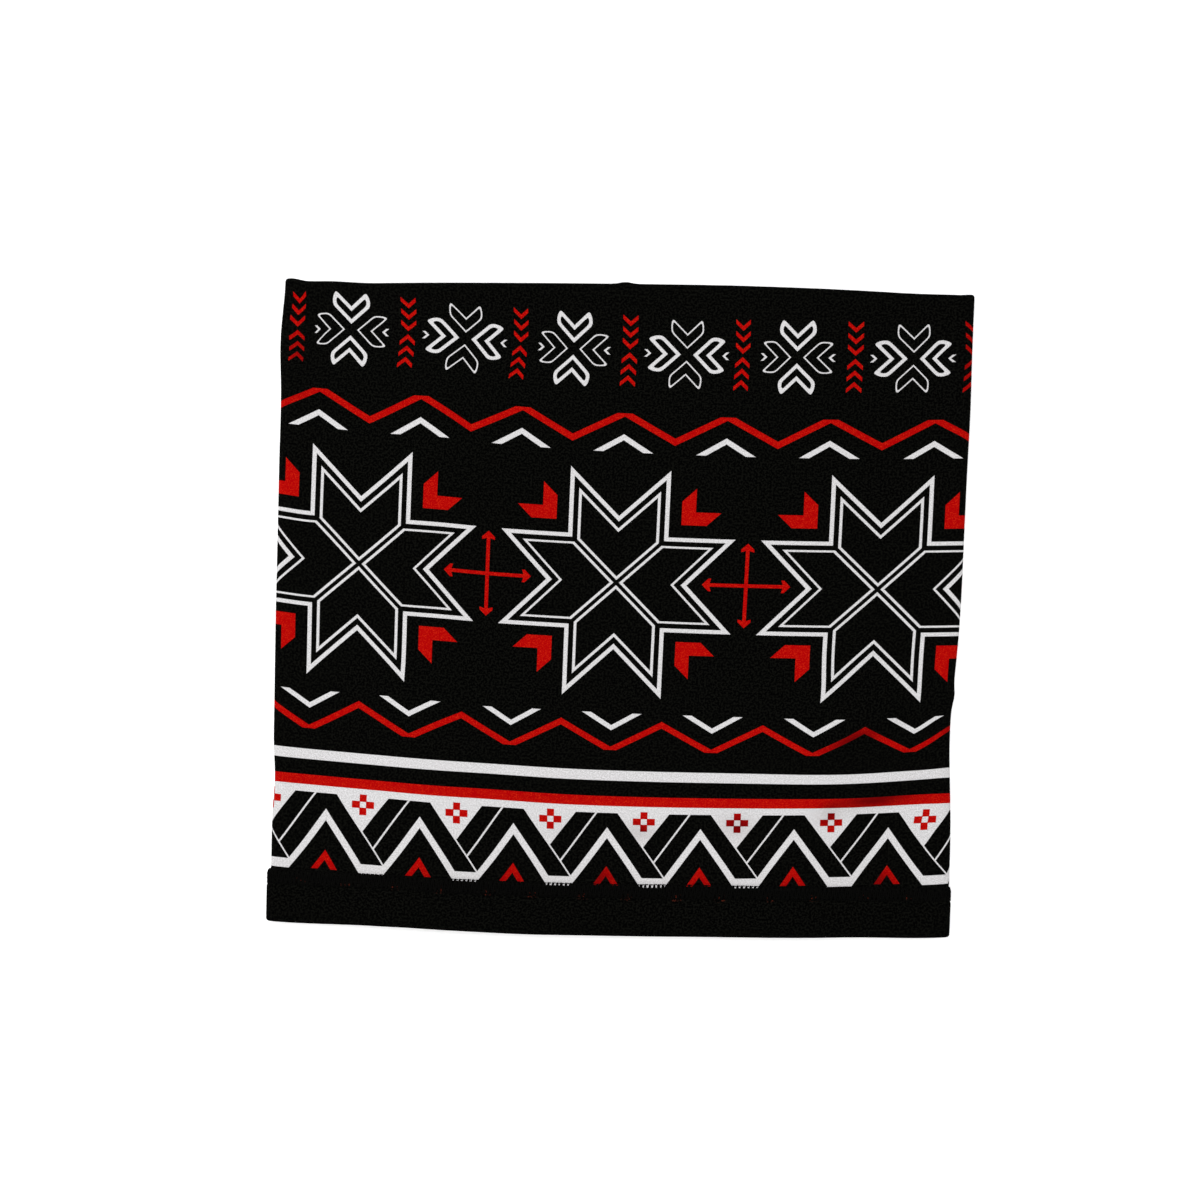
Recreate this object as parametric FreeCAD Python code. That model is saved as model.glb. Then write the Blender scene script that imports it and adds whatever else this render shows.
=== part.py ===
import FreeCAD, Part
import os

# Lined neck gaiter lying flat on its back. Millimetres.
# X runs across the tube from side fold to side fold, Y runs up the tube from the hem
# to the top fold, and Z is up from the surface it lies on. The wearer's back is underneath.

# Driving sizes
FLAT_WIDTH = 250.0  # side fold to side fold
FLAT_HEIGHT = 237.0  # hem fold to top fold
LYING_THICKNESS = 12.0  # both walls and the loft that the brushed lining keeps between them

SHELL_THICKNESS = 0.9
LINING_THICKNESS = 1.1
LAYER_GAP = 0.1  # between shell and lining

FACING_DEPTH = 12.0  # shell turned to the inside at the top
HEM_DEPTH = 16.2  # hem fold to the edge where the hem band meets the shell
SEAM_GAP = 0.4  # opening that a seam's threads fill

# Flat seam of the hem: four needle rows with cover threads between them
NEEDLE_ROWS = 4
NEEDLE_PITCH = 1.8
NEEDLE_WIDTH = 0.4
THREAD_HEIGHT = 0.3

# Centre-back seam of the shell: both edges turned in and laid to one side
FLAP_WIDTH = 5.0
FLAP_CLEARANCE = 0.05
OVERLOCK_NEEDLES = (1.0, 3.2)  # needle lines, from the seam
SEAM_HUMP_HEIGHT = 2.1  # lining lifted over the turned-in edges
SEAM_HUMP_HALF = 6.5
SEAM_HUMP_SLOPE = 3.0

# Folded care label on the inside of the back
LABEL_WIDTH = 24.0
LABEL_LENGTH = 30.0
LABEL_TAPE = 0.2
LABEL_OFFSET = 16.0  # from the centre back to the label's near edge
LABEL_GAP = 0.05  # between the label's two layers

# Worked out from the driving sizes
Y_HEM = -FLAT_HEIGHT / 2
Y_TOP = FLAT_HEIGHT / 2
Y_JOIN = Y_HEM + HEM_DEPTH
Y_TOP_SEAM = Y_TOP - FACING_DEPTH
INNER_FACE = SHELL_THICKNESS + LAYER_GAP
CAVITY_FACE = INNER_FACE + LINING_THICKNESS
STITCH_WIDTH = (NEEDLE_ROWS - 1) * NEEDLE_PITCH + NEEDLE_WIDTH
Y_STITCH_LOW = Y_JOIN - STITCH_WIDTH / 2
Y_STITCH_HIGH = Y_JOIN + STITCH_WIDTH / 2
Y_HUMP = Y_STITCH_HIGH + LINING_THICKNESS + LAYER_GAP
FLAP_FACE = SHELL_THICKNESS + 2 * (SHELL_THICKNESS + FLAP_CLEARANCE)


def tube_outline(inset, y, hump):
    """Closed outline of the flattened tube, set in from its outer face, with or without the back seam's hump."""
    half = (FLAT_WIDTH - LYING_THICKNESS) / 2
    low = inset
    high = LYING_THICKNESS - inset
    middle = LYING_THICKNESS / 2
    side = FLAT_WIDTH / 2 - inset
    floor = [(-half, low), (half, low)]
    if hump:
        foot = SEAM_HUMP_HALF + SEAM_HUMP_SLOPE
        crest = low + SEAM_HUMP_HEIGHT
        floor[1:1] = [(-foot, low), (-SEAM_HUMP_HALF, crest), (SEAM_HUMP_HALF, crest), (foot, low)]
    points = [FreeCAD.Vector(x, y, z) for x, z in floor]
    edges = [Part.makeLine(a, b) for a, b in zip(points, points[1:])]
    right_top = FreeCAD.Vector(half, y, high)
    left_top = FreeCAD.Vector(-half, y, high)
    right_side = FreeCAD.Vector(side, y, middle)
    left_side = FreeCAD.Vector(-side, y, middle)
    edges.append(Part.Arc(points[-1], right_side, right_top).toShape())
    edges.append(Part.makeLine(right_top, left_top))
    edges.append(Part.Arc(left_top, left_side, points[0]).toShape())
    return Part.Wire(edges)


def tube(outer, inner, y_low, y_high, outer_hump=False, inner_hump=False):
    """A length of the flattened tube's wall, between two insets from the outer face."""
    outside = Part.Face(tube_outline(outer, y_low, outer_hump))
    inside = Part.Face(tube_outline(inner, y_low, inner_hump))
    return outside.cut(inside).extrude(FreeCAD.Vector(0, y_high - y_low, 0))


def block(x_low, x_high, y_low, y_high, z_low, z_high):
    """A block between two corners."""
    corner = FreeCAD.Vector(x_low, y_low, z_low)
    return Part.makeBox(x_high - x_low, y_high - y_low, z_high - z_low, corner)


def joined(pieces):
    """One solid from pieces that share faces or volume."""
    whole = pieces[0].fuse(pieces[1:])
    return whole.removeSplitter()


def stitch_groove():
    """The band of compressed cloth that the hem's flat seam lies in."""
    return tube(-1.0, THREAD_HEIGHT, Y_STITCH_LOW, Y_STITCH_HIGH)


def back_seam_flaps(y_low, y_high):
    """The shell's two turned-in edges at the centre back, laid one on the other."""
    t = SHELL_THICKNESS
    c = FLAP_CLEARANCE
    lower_fold = block(c, t, y_low, y_high, t, 2 * t)
    lower_flap = block(c, FLAP_WIDTH, y_low, y_high, t + c, 2 * t)
    upper_web = block(-t, 0, y_low, y_high, t, FLAP_FACE)
    upper_flap = block(-t, FLAP_WIDTH, y_low, y_high, 2 * t + c, FLAP_FACE)
    return [lower_fold, lower_flap, upper_web, upper_flap]


def make_shell_panel():
    """Printed knit wrapped into a tube, turned in at the top and at the centre back."""
    t = SHELL_THICKNESS
    outer = tube(0, t, Y_JOIN, Y_TOP)
    rim = tube(0, CAVITY_FACE, Y_TOP - t, Y_TOP, inner_hump=True)
    facing = tube(INNER_FACE, CAVITY_FACE, Y_TOP_SEAM, Y_TOP, outer_hump=True, inner_hump=True)
    wall = joined([outer, rim, facing]).cut(stitch_groove())
    slit_top = CAVITY_FACE + SEAM_HUMP_HEIGHT + 1
    slit = block(0, FLAP_CLEARANCE, Y_JOIN - 1, Y_TOP + 1, -1, slit_top)
    flaps = back_seam_flaps(Y_HUMP, Y_TOP - t - FLAP_CLEARANCE)
    return joined([wall.cut(slit), *flaps])


def make_lining_panel():
    """Brushed knit inner tube, lifted over the shell's back seam and open at its own."""
    flat = tube(INNER_FACE, CAVITY_FACE, Y_JOIN, Y_HUMP)
    step = tube(INNER_FACE, CAVITY_FACE, Y_HUMP - LINING_THICKNESS, Y_HUMP, inner_hump=True)
    y_end = Y_TOP_SEAM - SEAM_GAP
    lifted = tube(INNER_FACE, CAVITY_FACE, Y_HUMP, y_end, outer_hump=True, inner_hump=True)
    slit_top = CAVITY_FACE + SEAM_HUMP_HEIGHT + 1
    slit = block(-SEAM_GAP / 2, SEAM_GAP / 2, Y_HUMP, y_end, INNER_FACE, slit_top)
    return joined([flat, step, lifted]).cut(slit)


def make_hem_band():
    """Knit strip folded double around the bottom edge."""
    outer = tube(0, SHELL_THICKNESS, Y_HEM, Y_JOIN)
    fold = tube(0, CAVITY_FACE, Y_HEM, Y_HEM + SHELL_THICKNESS)
    inner = tube(INNER_FACE, CAVITY_FACE, Y_HEM, Y_JOIN)
    band = joined([outer, fold, inner]).cut(stitch_groove())
    slit_low = Y_HEM + SHELL_THICKNESS
    slit = block(-SEAM_GAP / 2, SEAM_GAP / 2, slit_low, Y_JOIN, INNER_FACE, CAVITY_FACE + 1)
    return band.cut(slit)


def make_hem_needle_threads():
    """Needle threads of the flat seam, one closed row for each needle."""
    rows = [Y_STITCH_LOW + i * NEEDLE_PITCH for i in range(NEEDLE_ROWS)]
    return Part.makeCompound([tube(0, THREAD_HEIGHT, y, y + NEEDLE_WIDTH) for y in rows])


def seam_threads_between_rows(outer, inner):
    """Closed rows of thread that lie between the needle rows."""
    rows = [Y_STITCH_LOW + i * NEEDLE_PITCH + NEEDLE_WIDTH for i in range(NEEDLE_ROWS - 1)]
    width = NEEDLE_PITCH - NEEDLE_WIDTH
    return Part.makeCompound([tube(outer, inner, y, y + width) for y in rows])


def make_shell_back_seam_threads():
    """Overlock threads: two needle lines and the wrapped edge."""
    y_low = Y_HUMP
    y_high = Y_TOP_SEAM - SEAM_GAP
    top = FLAP_FACE + THREAD_HEIGHT / 2
    lines = [
        block(x, x + NEEDLE_WIDTH, y_low, y_high, FLAP_FACE, top) for x in OVERLOCK_NEEDLES
    ]
    z_low = SHELL_THICKNESS + FLAP_CLEARANCE
    edge = block(FLAP_WIDTH, FLAP_WIDTH + NEEDLE_WIDTH, y_low, y_high, z_low, FLAP_FACE)
    return Part.makeCompound([*lines, edge])


def make_lining_back_seam_threads():
    """Threads that fill the lining's centre-back seam."""
    z_low = INNER_FACE + SEAM_HUMP_HEIGHT
    z_high = CAVITY_FACE + SEAM_HUMP_HEIGHT
    half = SEAM_GAP / 2
    return block(-half, half, Y_HUMP, Y_TOP_SEAM - SEAM_GAP, z_low, z_high)


def make_top_seam_threads():
    """Threads between the facing's lower edge and the lining's top edge."""
    y_low = Y_TOP_SEAM - SEAM_GAP
    return tube(INNER_FACE, CAVITY_FACE, y_low, Y_TOP_SEAM, outer_hump=True, inner_hump=True)


def make_hem_band_join_threads():
    """Threads of the hem band's end-to-end join, on the inside of the back."""
    half = SEAM_GAP / 2
    y_high = Y_STITCH_LOW
    return block(-half, half, Y_HEM + SHELL_THICKNESS, y_high, INNER_FACE, CAVITY_FACE)


def make_care_label():
    """Blank tape folded in half, lying on the lining below the top seam."""
    x_low = LABEL_OFFSET
    x_high = LABEL_OFFSET + LABEL_WIDTH
    y_high = Y_TOP_SEAM
    y_low = y_high - LABEL_LENGTH
    z_middle = CAVITY_FACE + LABEL_TAPE
    z_upper = z_middle + LABEL_GAP
    z_high = z_upper + LABEL_TAPE
    lower = block(x_low, x_high, y_low, y_high, CAVITY_FACE, z_middle)
    fold = block(x_low, x_high, y_low, y_low + LABEL_TAPE, CAVITY_FACE, z_high)
    upper = block(x_low, x_high, y_low, y_high, z_upper, z_high)
    return joined([lower, fold, upper])


def make_care_label_stitches():
    """Tack across the label's upper end."""
    x_low = LABEL_OFFSET
    x_high = LABEL_OFFSET + LABEL_WIDTH
    z_low = CAVITY_FACE + 2 * LABEL_TAPE + LABEL_GAP
    y_high = Y_TOP_SEAM - 1.0
    return block(x_low, x_high, y_high - NEEDLE_WIDTH, y_high, z_low, z_low + LABEL_TAPE)


NODES = {
    "shell_panel": make_shell_panel(),
    "lining_panel": make_lining_panel(),
    "hem_band": make_hem_band(),
    "care_label": make_care_label(),
    "shell_back_seam_threads": make_shell_back_seam_threads(),
    "lining_back_seam_threads": make_lining_back_seam_threads(),
    "top_seam_threads": make_top_seam_threads(),
    "hem_needle_threads": make_hem_needle_threads(),
    "hem_cover_threads": seam_threads_between_rows(0, THREAD_HEIGHT),
    "hem_looper_threads": seam_threads_between_rows(CAVITY_FACE, CAVITY_FACE + THREAD_HEIGHT),
    "hem_band_join_threads": make_hem_band_join_threads(),
    "care_label_stitches": make_care_label_stitches(),
}

os.makedirs("parts", exist_ok=True)
for node, shape in NODES.items():
    shape.exportStep(f"parts/{node}.step")
    print(node, len(shape.Solids), shape.isValid(), round(shape.Volume, 1), shape.BoundBox)
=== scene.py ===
"""Lined neck gaiter lying flat on its back: printed knit shell, brushed lining, folded hem band,
flat-seam threads and a blank care label. Design sizes are in millimetres, and meshes in metres."""

import logging
import math
from dataclasses import dataclass
from enum import Enum
from typing import Sequence

import bpy
import numpy as np
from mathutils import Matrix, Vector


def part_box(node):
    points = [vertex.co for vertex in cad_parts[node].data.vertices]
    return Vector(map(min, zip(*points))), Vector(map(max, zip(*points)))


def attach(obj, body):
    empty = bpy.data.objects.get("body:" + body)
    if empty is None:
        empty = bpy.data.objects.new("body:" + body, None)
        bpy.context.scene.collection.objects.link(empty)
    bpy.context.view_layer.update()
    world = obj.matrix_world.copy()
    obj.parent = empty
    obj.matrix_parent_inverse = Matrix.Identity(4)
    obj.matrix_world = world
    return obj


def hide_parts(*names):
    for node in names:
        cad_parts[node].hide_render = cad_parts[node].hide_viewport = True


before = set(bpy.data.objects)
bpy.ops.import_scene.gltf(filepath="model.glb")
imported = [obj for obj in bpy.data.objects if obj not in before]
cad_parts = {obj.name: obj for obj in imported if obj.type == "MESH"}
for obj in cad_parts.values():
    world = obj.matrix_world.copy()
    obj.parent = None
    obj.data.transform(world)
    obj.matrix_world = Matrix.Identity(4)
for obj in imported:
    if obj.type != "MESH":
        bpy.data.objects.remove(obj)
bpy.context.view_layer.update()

LOG = logging.getLogger("gaiter")
MM = 0.001
PRINT_MAP = "print"
# mesh attribute that holds painted shade of the creases and dimples, from 0 to 1
PAINTED_SHADE_MAP = "painted_crease_shade"
INK_EDGE = 0.12  # width over which ink fades into the cloth
INK_LOSS = 0.10  # how far the black ground creeps over the edge of each printed shape
ROOT2 = math.sqrt(2.0)
GRAIN_SIZE = 0.75  # size of the knit's light and dark grains
GRAIN_RAMP = (0.455, 0.565)  # how sharply light grains stand out from dark ones

Colour = tuple[float, float, float]
INK_BLACK: Colour = (0.0001, 0.0001, 0.0001)
INK_BLACK_WORN: Colour = (0.0036, 0.0037, 0.0029)


class Slot(Enum):
    """Material slots of the record."""

    PRINTED_KNIT = "printed_knit"
    BRUSHED_LINING = "brushed_lining"
    HEM_KNIT = "hem_knit"
    LABEL_TAPE = "label_tape"
    BLACK_THREAD = "black_thread"


class Facing(Enum):
    """Which way a zigzag row's flattened points look."""

    UP = 1.0
    DOWN = -1.0


def node_box_mm(node: str) -> tuple[np.ndarray, np.ndarray]:
    """Lowest and highest corner of a CAD node, in millimetres.

    Args:
        node: Name of the CAD node.

    Returns:
        The two corners.
    """
    low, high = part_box(node)
    return np.array(low) / MM, np.array(high) / MM


def eased(value: np.ndarray, start: float, end: float) -> np.ndarray:
    """Smooth step from 0 at start to 1 at end.

    Args:
        value: Where to read the step.
        start: Value at which it begins.
        end: Value at which it is complete.

    Returns:
        The step, between 0 and 1.
    """
    u = np.clip((value - start) / (end - start), 0.0, 1.0)
    return u * u * (3.0 - 2.0 * u)


def hill(value: np.ndarray, middle: float, width: float) -> np.ndarray:
    """Bell-shaped hill of height 1.

    Args:
        value: Where to read the hill.
        middle: Value at its top.
        width: Distance over which it falls to about a third.

    Returns:
        The hill's height.
    """
    return np.exp(-(((value - middle) / width) ** 2))


# ---------------------------------------------------------------- how the tube lies


@dataclass(frozen=True)
class Bulge:
    """A smooth swelling of an edge of the gaiter, or a pinch where it is negative."""

    at: float
    reach: float
    out: float

    def offset(self, place: np.ndarray) -> np.ndarray:
        """How far the edge moves at a place along it."""
        return self.out * hill(place, self.at, self.reach)


@dataclass(frozen=True)
class Rise:
    """A smooth step of an edge: none of it at the start, all of it at the end."""

    start: float
    end: float
    out: float

    def offset(self, place: np.ndarray) -> np.ndarray:
        """How far the edge moves at a place along it."""
        return self.out * eased(place, self.start, self.end)


def offsets(place: np.ndarray, parts: Sequence[Bulge | Rise]) -> np.ndarray:
    """How far all the swellings and steps together move an edge at a place along it."""
    return sum(part.offset(place) for part in parts)


LEFT_FOLD = (
    Bulge(at=92.0, reach=10.0, out=0.4),
    Bulge(at=70.0, reach=14.0, out=-0.2),
    Bulge(at=-5.0, reach=25.0, out=0.15),
    Bulge(at=-66.0, reach=9.0, out=-0.75),
    Rise(start=98.0, end=118.0, out=-1.0),
)
RIGHT_FOLD = (
    Bulge(at=-42.0, reach=28.0, out=-2.1),
    Bulge(at=-29.0, reach=3.5, out=0.7),
    Bulge(at=75.0, reach=18.0, out=0.3),
)
HEM_EDGE = (
    Bulge(at=-31.0, reach=22.0, out=-0.35),
    Bulge(at=36.0, reach=24.0, out=0.2),
    Bulge(at=-72.0, reach=10.0, out=0.2),
)
SEAM_LINE = (Bulge(at=38.0, reach=34.0, out=0.6),)
TOP_EDGE = (
    Rise(start=-116.0, end=-123.0, out=1.1),
    Rise(start=119.0, end=125.0, out=0.5),
    Bulge(at=-1.0, reach=2.6, out=0.7),
    Bulge(at=37.0, reach=25.0, out=0.2),
    Rise(start=-92.0, end=-110.0, out=0.85),
    Rise(start=98.0, end=124.0, out=0.6),
)


@dataclass(frozen=True)
class Crease:
    """A soft valley (negative rise) or ridge in the upper wall, or a spot of painted shade on the print."""

    x: float
    y: float
    turn: float  # degrees from +X to the line of the crease
    length: float
    width: float
    rise: float
    painted_shade: float = 0.0  # how strongly painted shade darkens the print here, from 0 to 1

    def strength(self, x: np.ndarray, y: np.ndarray) -> np.ndarray:
        """How much of the crease is felt at x, y."""
        turn = math.radians(self.turn)
        along = (x - self.x) * math.cos(turn) + (y - self.y) * math.sin(turn)
        across = (y - self.y) * math.cos(turn) - (x - self.x) * math.sin(turn)
        return hill(along, 0.0, self.length / 2) * hill(across, 0.0, self.width / 2)


# A crease's painted_shade value is painted shade: it darkens the print's white and red in these creases and
# dimples.
CREASES = (
    Crease(x=96.5, y=-45.4, turn=26.0, length=50.0, width=8.0, rise=-1.1),
    Crease(x=93.3, y=-38.8, turn=26.0, length=46.0, width=9.0, rise=0.9),
    Crease(x=87.5, y=-46.3, turn=20.0, length=19.0, width=7.0, rise=0.0, painted_shade=1.0),
    Crease(x=108.0, y=-52.0, turn=10.0, length=16.0, width=5.0, rise=0.0, painted_shade=0.5),
    Crease(x=123.0, y=-42.0, turn=50.0, length=12.0, width=9.0, rise=0.0, painted_shade=0.4),
    Crease(x=98.0, y=-97.0, turn=0.0, length=10.0, width=9.0, rise=0.0, painted_shade=0.6),
    Crease(x=-5.0, y=-98.0, turn=0.0, length=10.0, width=9.0, rise=0.0, painted_shade=0.5),
    Crease(x=100.5, y=-69.0, turn=22.0, length=34.0, width=6.5, rise=-0.8),
    Crease(x=97.5, y=-63.0, turn=22.0, length=34.0, width=7.0, rise=0.6),
    Crease(x=96.0, y=-67.8, turn=8.0, length=27.0, width=6.0, rise=0.0, painted_shade=1.0),
    Crease(x=-19.0, y=-83.0, turn=4.0, length=13.0, width=8.0, rise=-0.5, painted_shade=0.3),
    Crease(x=9.8, y=-82.6, turn=-3.0, length=13.0, width=6.5, rise=-0.75, painted_shade=1.0),
    Crease(x=45.6, y=-79.3, turn=0.0, length=14.0, width=9.0, rise=-0.8, painted_shade=1.0),
    Crease(x=79.0, y=-74.0, turn=30.0, length=9.0, width=7.0, rise=-0.3, painted_shade=0.9),
    Crease(x=80.0, y=-86.0, turn=60.0, length=20.0, width=8.0, rise=-0.5),
    Crease(x=-120.5, y=87.0, turn=88.0, length=20.0, width=9.0, rise=0.0, painted_shade=0.6),
    Crease(x=124.0, y=95.0, turn=88.0, length=30.0, width=8.0, rise=0.0, painted_shade=0.5),
    Crease(x=0.0, y=-100.0, turn=0.0, length=400.0, width=9.0, rise=0.0, painted_shade=0.35),
    Crease(x=-104.0, y=20.0, turn=84.0, length=90.0, width=16.0, rise=0.4),
    Crease(x=-119.0, y=-85.0, turn=76.0, length=34.0, width=7.0, rise=-0.5),
    Crease(x=110.0, y=70.0, turn=95.0, length=90.0, width=18.0, rise=0.4),
    Crease(x=-40.0, y=-60.0, turn=-7.0, length=120.0, width=26.0, rise=0.35),
    Crease(x=30.0, y=48.0, turn=12.0, length=130.0, width=30.0, rise=0.3),
)


@dataclass(frozen=True)
class GaiterLay:
    """The flattened tube: where a place on the cloth is once the gaiter lies down."""

    width: float
    thickness: float
    hem_y: float
    seam_y: float
    top_y: float
    hem_bow: float = 2.8
    hem_drop: float = 1.8
    hem_tilt: float = 0.45
    seam_bow: float = 2.6
    seam_drop: float = 1.65
    corner_drop: float = 0.9
    corner_from: float = 85.0
    corner_full: float = 118.0
    top_rise: float = 0.2
    top_tilt: float = 1.8
    top_bow: float = 1.8
    top_twist: float = 0.85
    middle_sag: float = 2.2
    left_fold: float = 126.4
    left_lean: float = 0.008
    left_band: float = 1.5  # how much wider the hem band is than the shell above it
    right_fold: float = 125.95
    right_lean: float = 0.0155
    right_band: float = 0.9
    pinch: float = 0.64  # how much of its height the tube loses at the side folds
    pinch_from: float = 62.0
    pinch_margin: float = 1.5  # how far inside the side fold the pinch is complete

    @property
    def radius(self) -> float:
        """Radius of the side folds."""
        return self.thickness / 2

    @property
    def flat_half(self) -> float:
        """Half the width of the flat walls."""
        return self.width / 2 - self.radius

    @property
    def girth(self) -> float:
        """Length once around the outside."""
        return 4 * self.flat_half + 2 * math.pi * self.radius

    def drawn_length(self, girth: np.ndarray) -> np.ndarray:
        """Length along the cloth from the front centre, with the side folds pressed flat.

        Args:
            girth: Distance around the plain round-sided tube.

        Returns:
            The distance, with the same sign.
        """
        angle = np.linspace(0.0, math.pi, 181)
        pace = self.radius * np.hypot(np.cos(angle), (1.0 - self.pinch) * np.sin(angle))
        length = np.concatenate([[0.0], np.cumsum((pace[1:] + pace[:-1]) / 2) * (angle[1] - angle[0])])
        around = np.abs(girth) - self.flat_half
        past = np.maximum(around - math.pi * self.radius, 0.0)
        folded = np.interp(around, angle * self.radius, length)
        return np.sign(girth) * (self.flat_half + np.where(around > 0, folded + past, around))

    def side_edge(self, side: np.ndarray, y: np.ndarray) -> np.ndarray:
        """Distance from the centre line to a side fold, which bulges and pinches on its way down.

        Args:
            side: Negative on the left, positive on the right.
            y: Height on the gaiter.

        Returns:
            The distance, in millimetres.
        """
        in_band = eased(y, self.seam_y + 0.6, self.seam_y - 1.2)
        left = self.left_fold + self.left_lean * y + offsets(y, LEFT_FOLD) + self.left_band * in_band
        right = self.right_fold + self.right_lean * y + offsets(y, RIGHT_FOLD) + self.right_band * in_band
        return np.where(side < 0, left, right)

    def lying_y(self, x: np.ndarray, y: np.ndarray) -> np.ndarray:
        """Height on the gaiter once it lies down, with the bow of its hem, hem seam and top fold.

        Args:
            x: Distance from the centre line.
            y: Height on the flat pattern.

        Returns:
            The height as it lies.
        """
        u = x / (self.width / 2)
        corner = self.corner_drop * eased(np.abs(x), self.corner_from, self.corner_full)
        hem = self.hem_y - self.hem_drop + self.hem_tilt * u + self.hem_bow * u**2
        hem = hem - corner + offsets(x, HEM_EDGE)
        seam = self.seam_y - self.seam_drop + self.seam_bow * u**2
        seam = seam - 0.8 * corner + offsets(x, SEAM_LINE)
        top = self.top_y + self.top_rise + self.top_tilt * u - self.top_bow * u**2 - self.top_twist * u**3
        top = top + offsets(x, TOP_EDGE)
        above = np.clip((y - self.seam_y) / (self.top_y - self.seam_y), 0.0, 2.0)
        below = (y - self.hem_y) / (self.seam_y - self.hem_y)
        return np.where(y > self.seam_y, seam + above * (top - seam), hem + below * (seam - hem))

    def upper_wall(self, x: np.ndarray, y: np.ndarray) -> np.ndarray:
        """Height that the upper wall has lost or gained against the plain tube.

        Args:
            x: Distance from the centre line, as it lies.
            y: Height on the gaiter, as it lies.

        Returns:
            The change, in millimetres.
        """
        u = np.abs(x) / (self.width / 2)
        sag = -self.middle_sag * (1.0 - u**5) * (0.85 + 0.15 * np.cos(y / 45.0 + 0.4))
        swell = 0.35 * np.sin(x / 31.0 + y / 52.0) + 0.25 * np.sin(x / 17.0 - y / 23.0 + 1.3)
        ripple = 0.10 * np.sin(x / 6.3 + 0.7 * np.sin(y / 19.0)) * hill(y, self.hem_y, 30.0)
        top = self.top_y - y
        rim = 0.35 * hill(top, 4.5, 2.2) - 0.18 * hill(top, 8.5, 2.5)
        band = 0.35 * hill(y, self.hem_y + 4.0, 5.0) - 0.25 * hill(y, self.seam_y - 7.5, 2.2)
        height = sag + (swell + ripple) * (1.0 - u**6) + rim + band
        for crease in CREASES:
            height = height + crease.rise * crease.strength(x, y)
        return height

    def place(self, girth: np.ndarray, y: np.ndarray, inset: np.ndarray) -> np.ndarray:
        """Where a place on the cloth lies.

        Args:
            girth: Distance around the tube from the front centre, positive towards +X.
            y: Height on the flat pattern.
            inset: Depth inwards from the tube's outer face.

        Returns:
            Points in millimetres, with x, y and z last.
        """
        girth, y, inset = np.broadcast_arrays(girth, y, inset)
        way = np.where(girth < 0, -1.0, 1.0)
        around = np.abs(girth)
        angle = np.clip((around - self.flat_half) / self.radius, 0.0, math.pi)
        past = np.maximum(around - self.flat_half - math.pi * self.radius, 0.0)
        x = np.minimum(around, self.flat_half) + (self.radius - inset) * np.sin(angle) - past
        z = self.radius + (self.radius - inset) * np.cos(angle)
        x = x * way
        lying = self.lying_y(x, y)
        x = x * self.side_edge(way, lying) / (self.width / 2)
        upper = eased(z, 0.25 * self.thickness, self.thickness)
        z = z + upper * self.upper_wall(x, lying)
        z = z * (1.0 - self.pinch * eased(np.abs(x), self.pinch_from, self.width / 2 - self.pinch_margin))
        return np.stack([x, lying, np.maximum(z, 0.0)], axis=-1)

    def outward(self, girth: np.ndarray) -> np.ndarray:
        """Direction away from the tube's middle at a place around it.

        Args:
            girth: Distance around the tube from the front centre.

        Returns:
            Unit vectors.
        """
        way = np.where(girth < 0, -1.0, 1.0)
        angle = np.clip((np.abs(girth) - self.flat_half) / self.radius, 0.0, math.pi)
        return np.stack([way * np.sin(angle), np.zeros_like(angle), np.cos(angle)], axis=-1)

    def stations(self, step: float = 2.0, at_fold: float = 1.0, at_seam: float = 0.3) -> np.ndarray:
        """Places around the tube for a mesh's columns, closer at the side folds and the back seam.

        Args:
            step: Spacing on the flat walls.
            at_fold: Spacing around the side folds.
            at_seam: Spacing within 1.5 mm of the back seam.

        Returns:
            Girth values from the back seam round to the back seam, the last left out.
        """
        fold_start = self.flat_half - 2.0
        fold_end = self.flat_half + math.pi * self.radius + 2.0
        seam = self.girth / 2
        marks = [(0.0, step), (fold_start, at_fold), (fold_end, step), (seam - 1.5, at_seam), (seam, 0.0)]
        half: list[float] = []
        for (start, spacing), (end, _) in zip(marks, marks[1:]):
            count = max(1, round((end - start) / spacing))
            half.extend(start + (end - start) * i / count for i in range(count))
        right = np.array(half)
        return np.concatenate([[-seam], -right[:0:-1], right])


@dataclass(frozen=True)
class Tug:
    """A place where the knit was pulled out of true when it was laid down, and the print with it."""

    x: float
    y: float
    reach_x: float
    reach_y: float
    right: float
    up: float

    def strength(self, x: np.ndarray, y: np.ndarray) -> np.ndarray:
        """How much of the pull is felt at x, y."""
        return hill(x, self.x, self.reach_x) * hill(y, self.y, self.reach_y)


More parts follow.
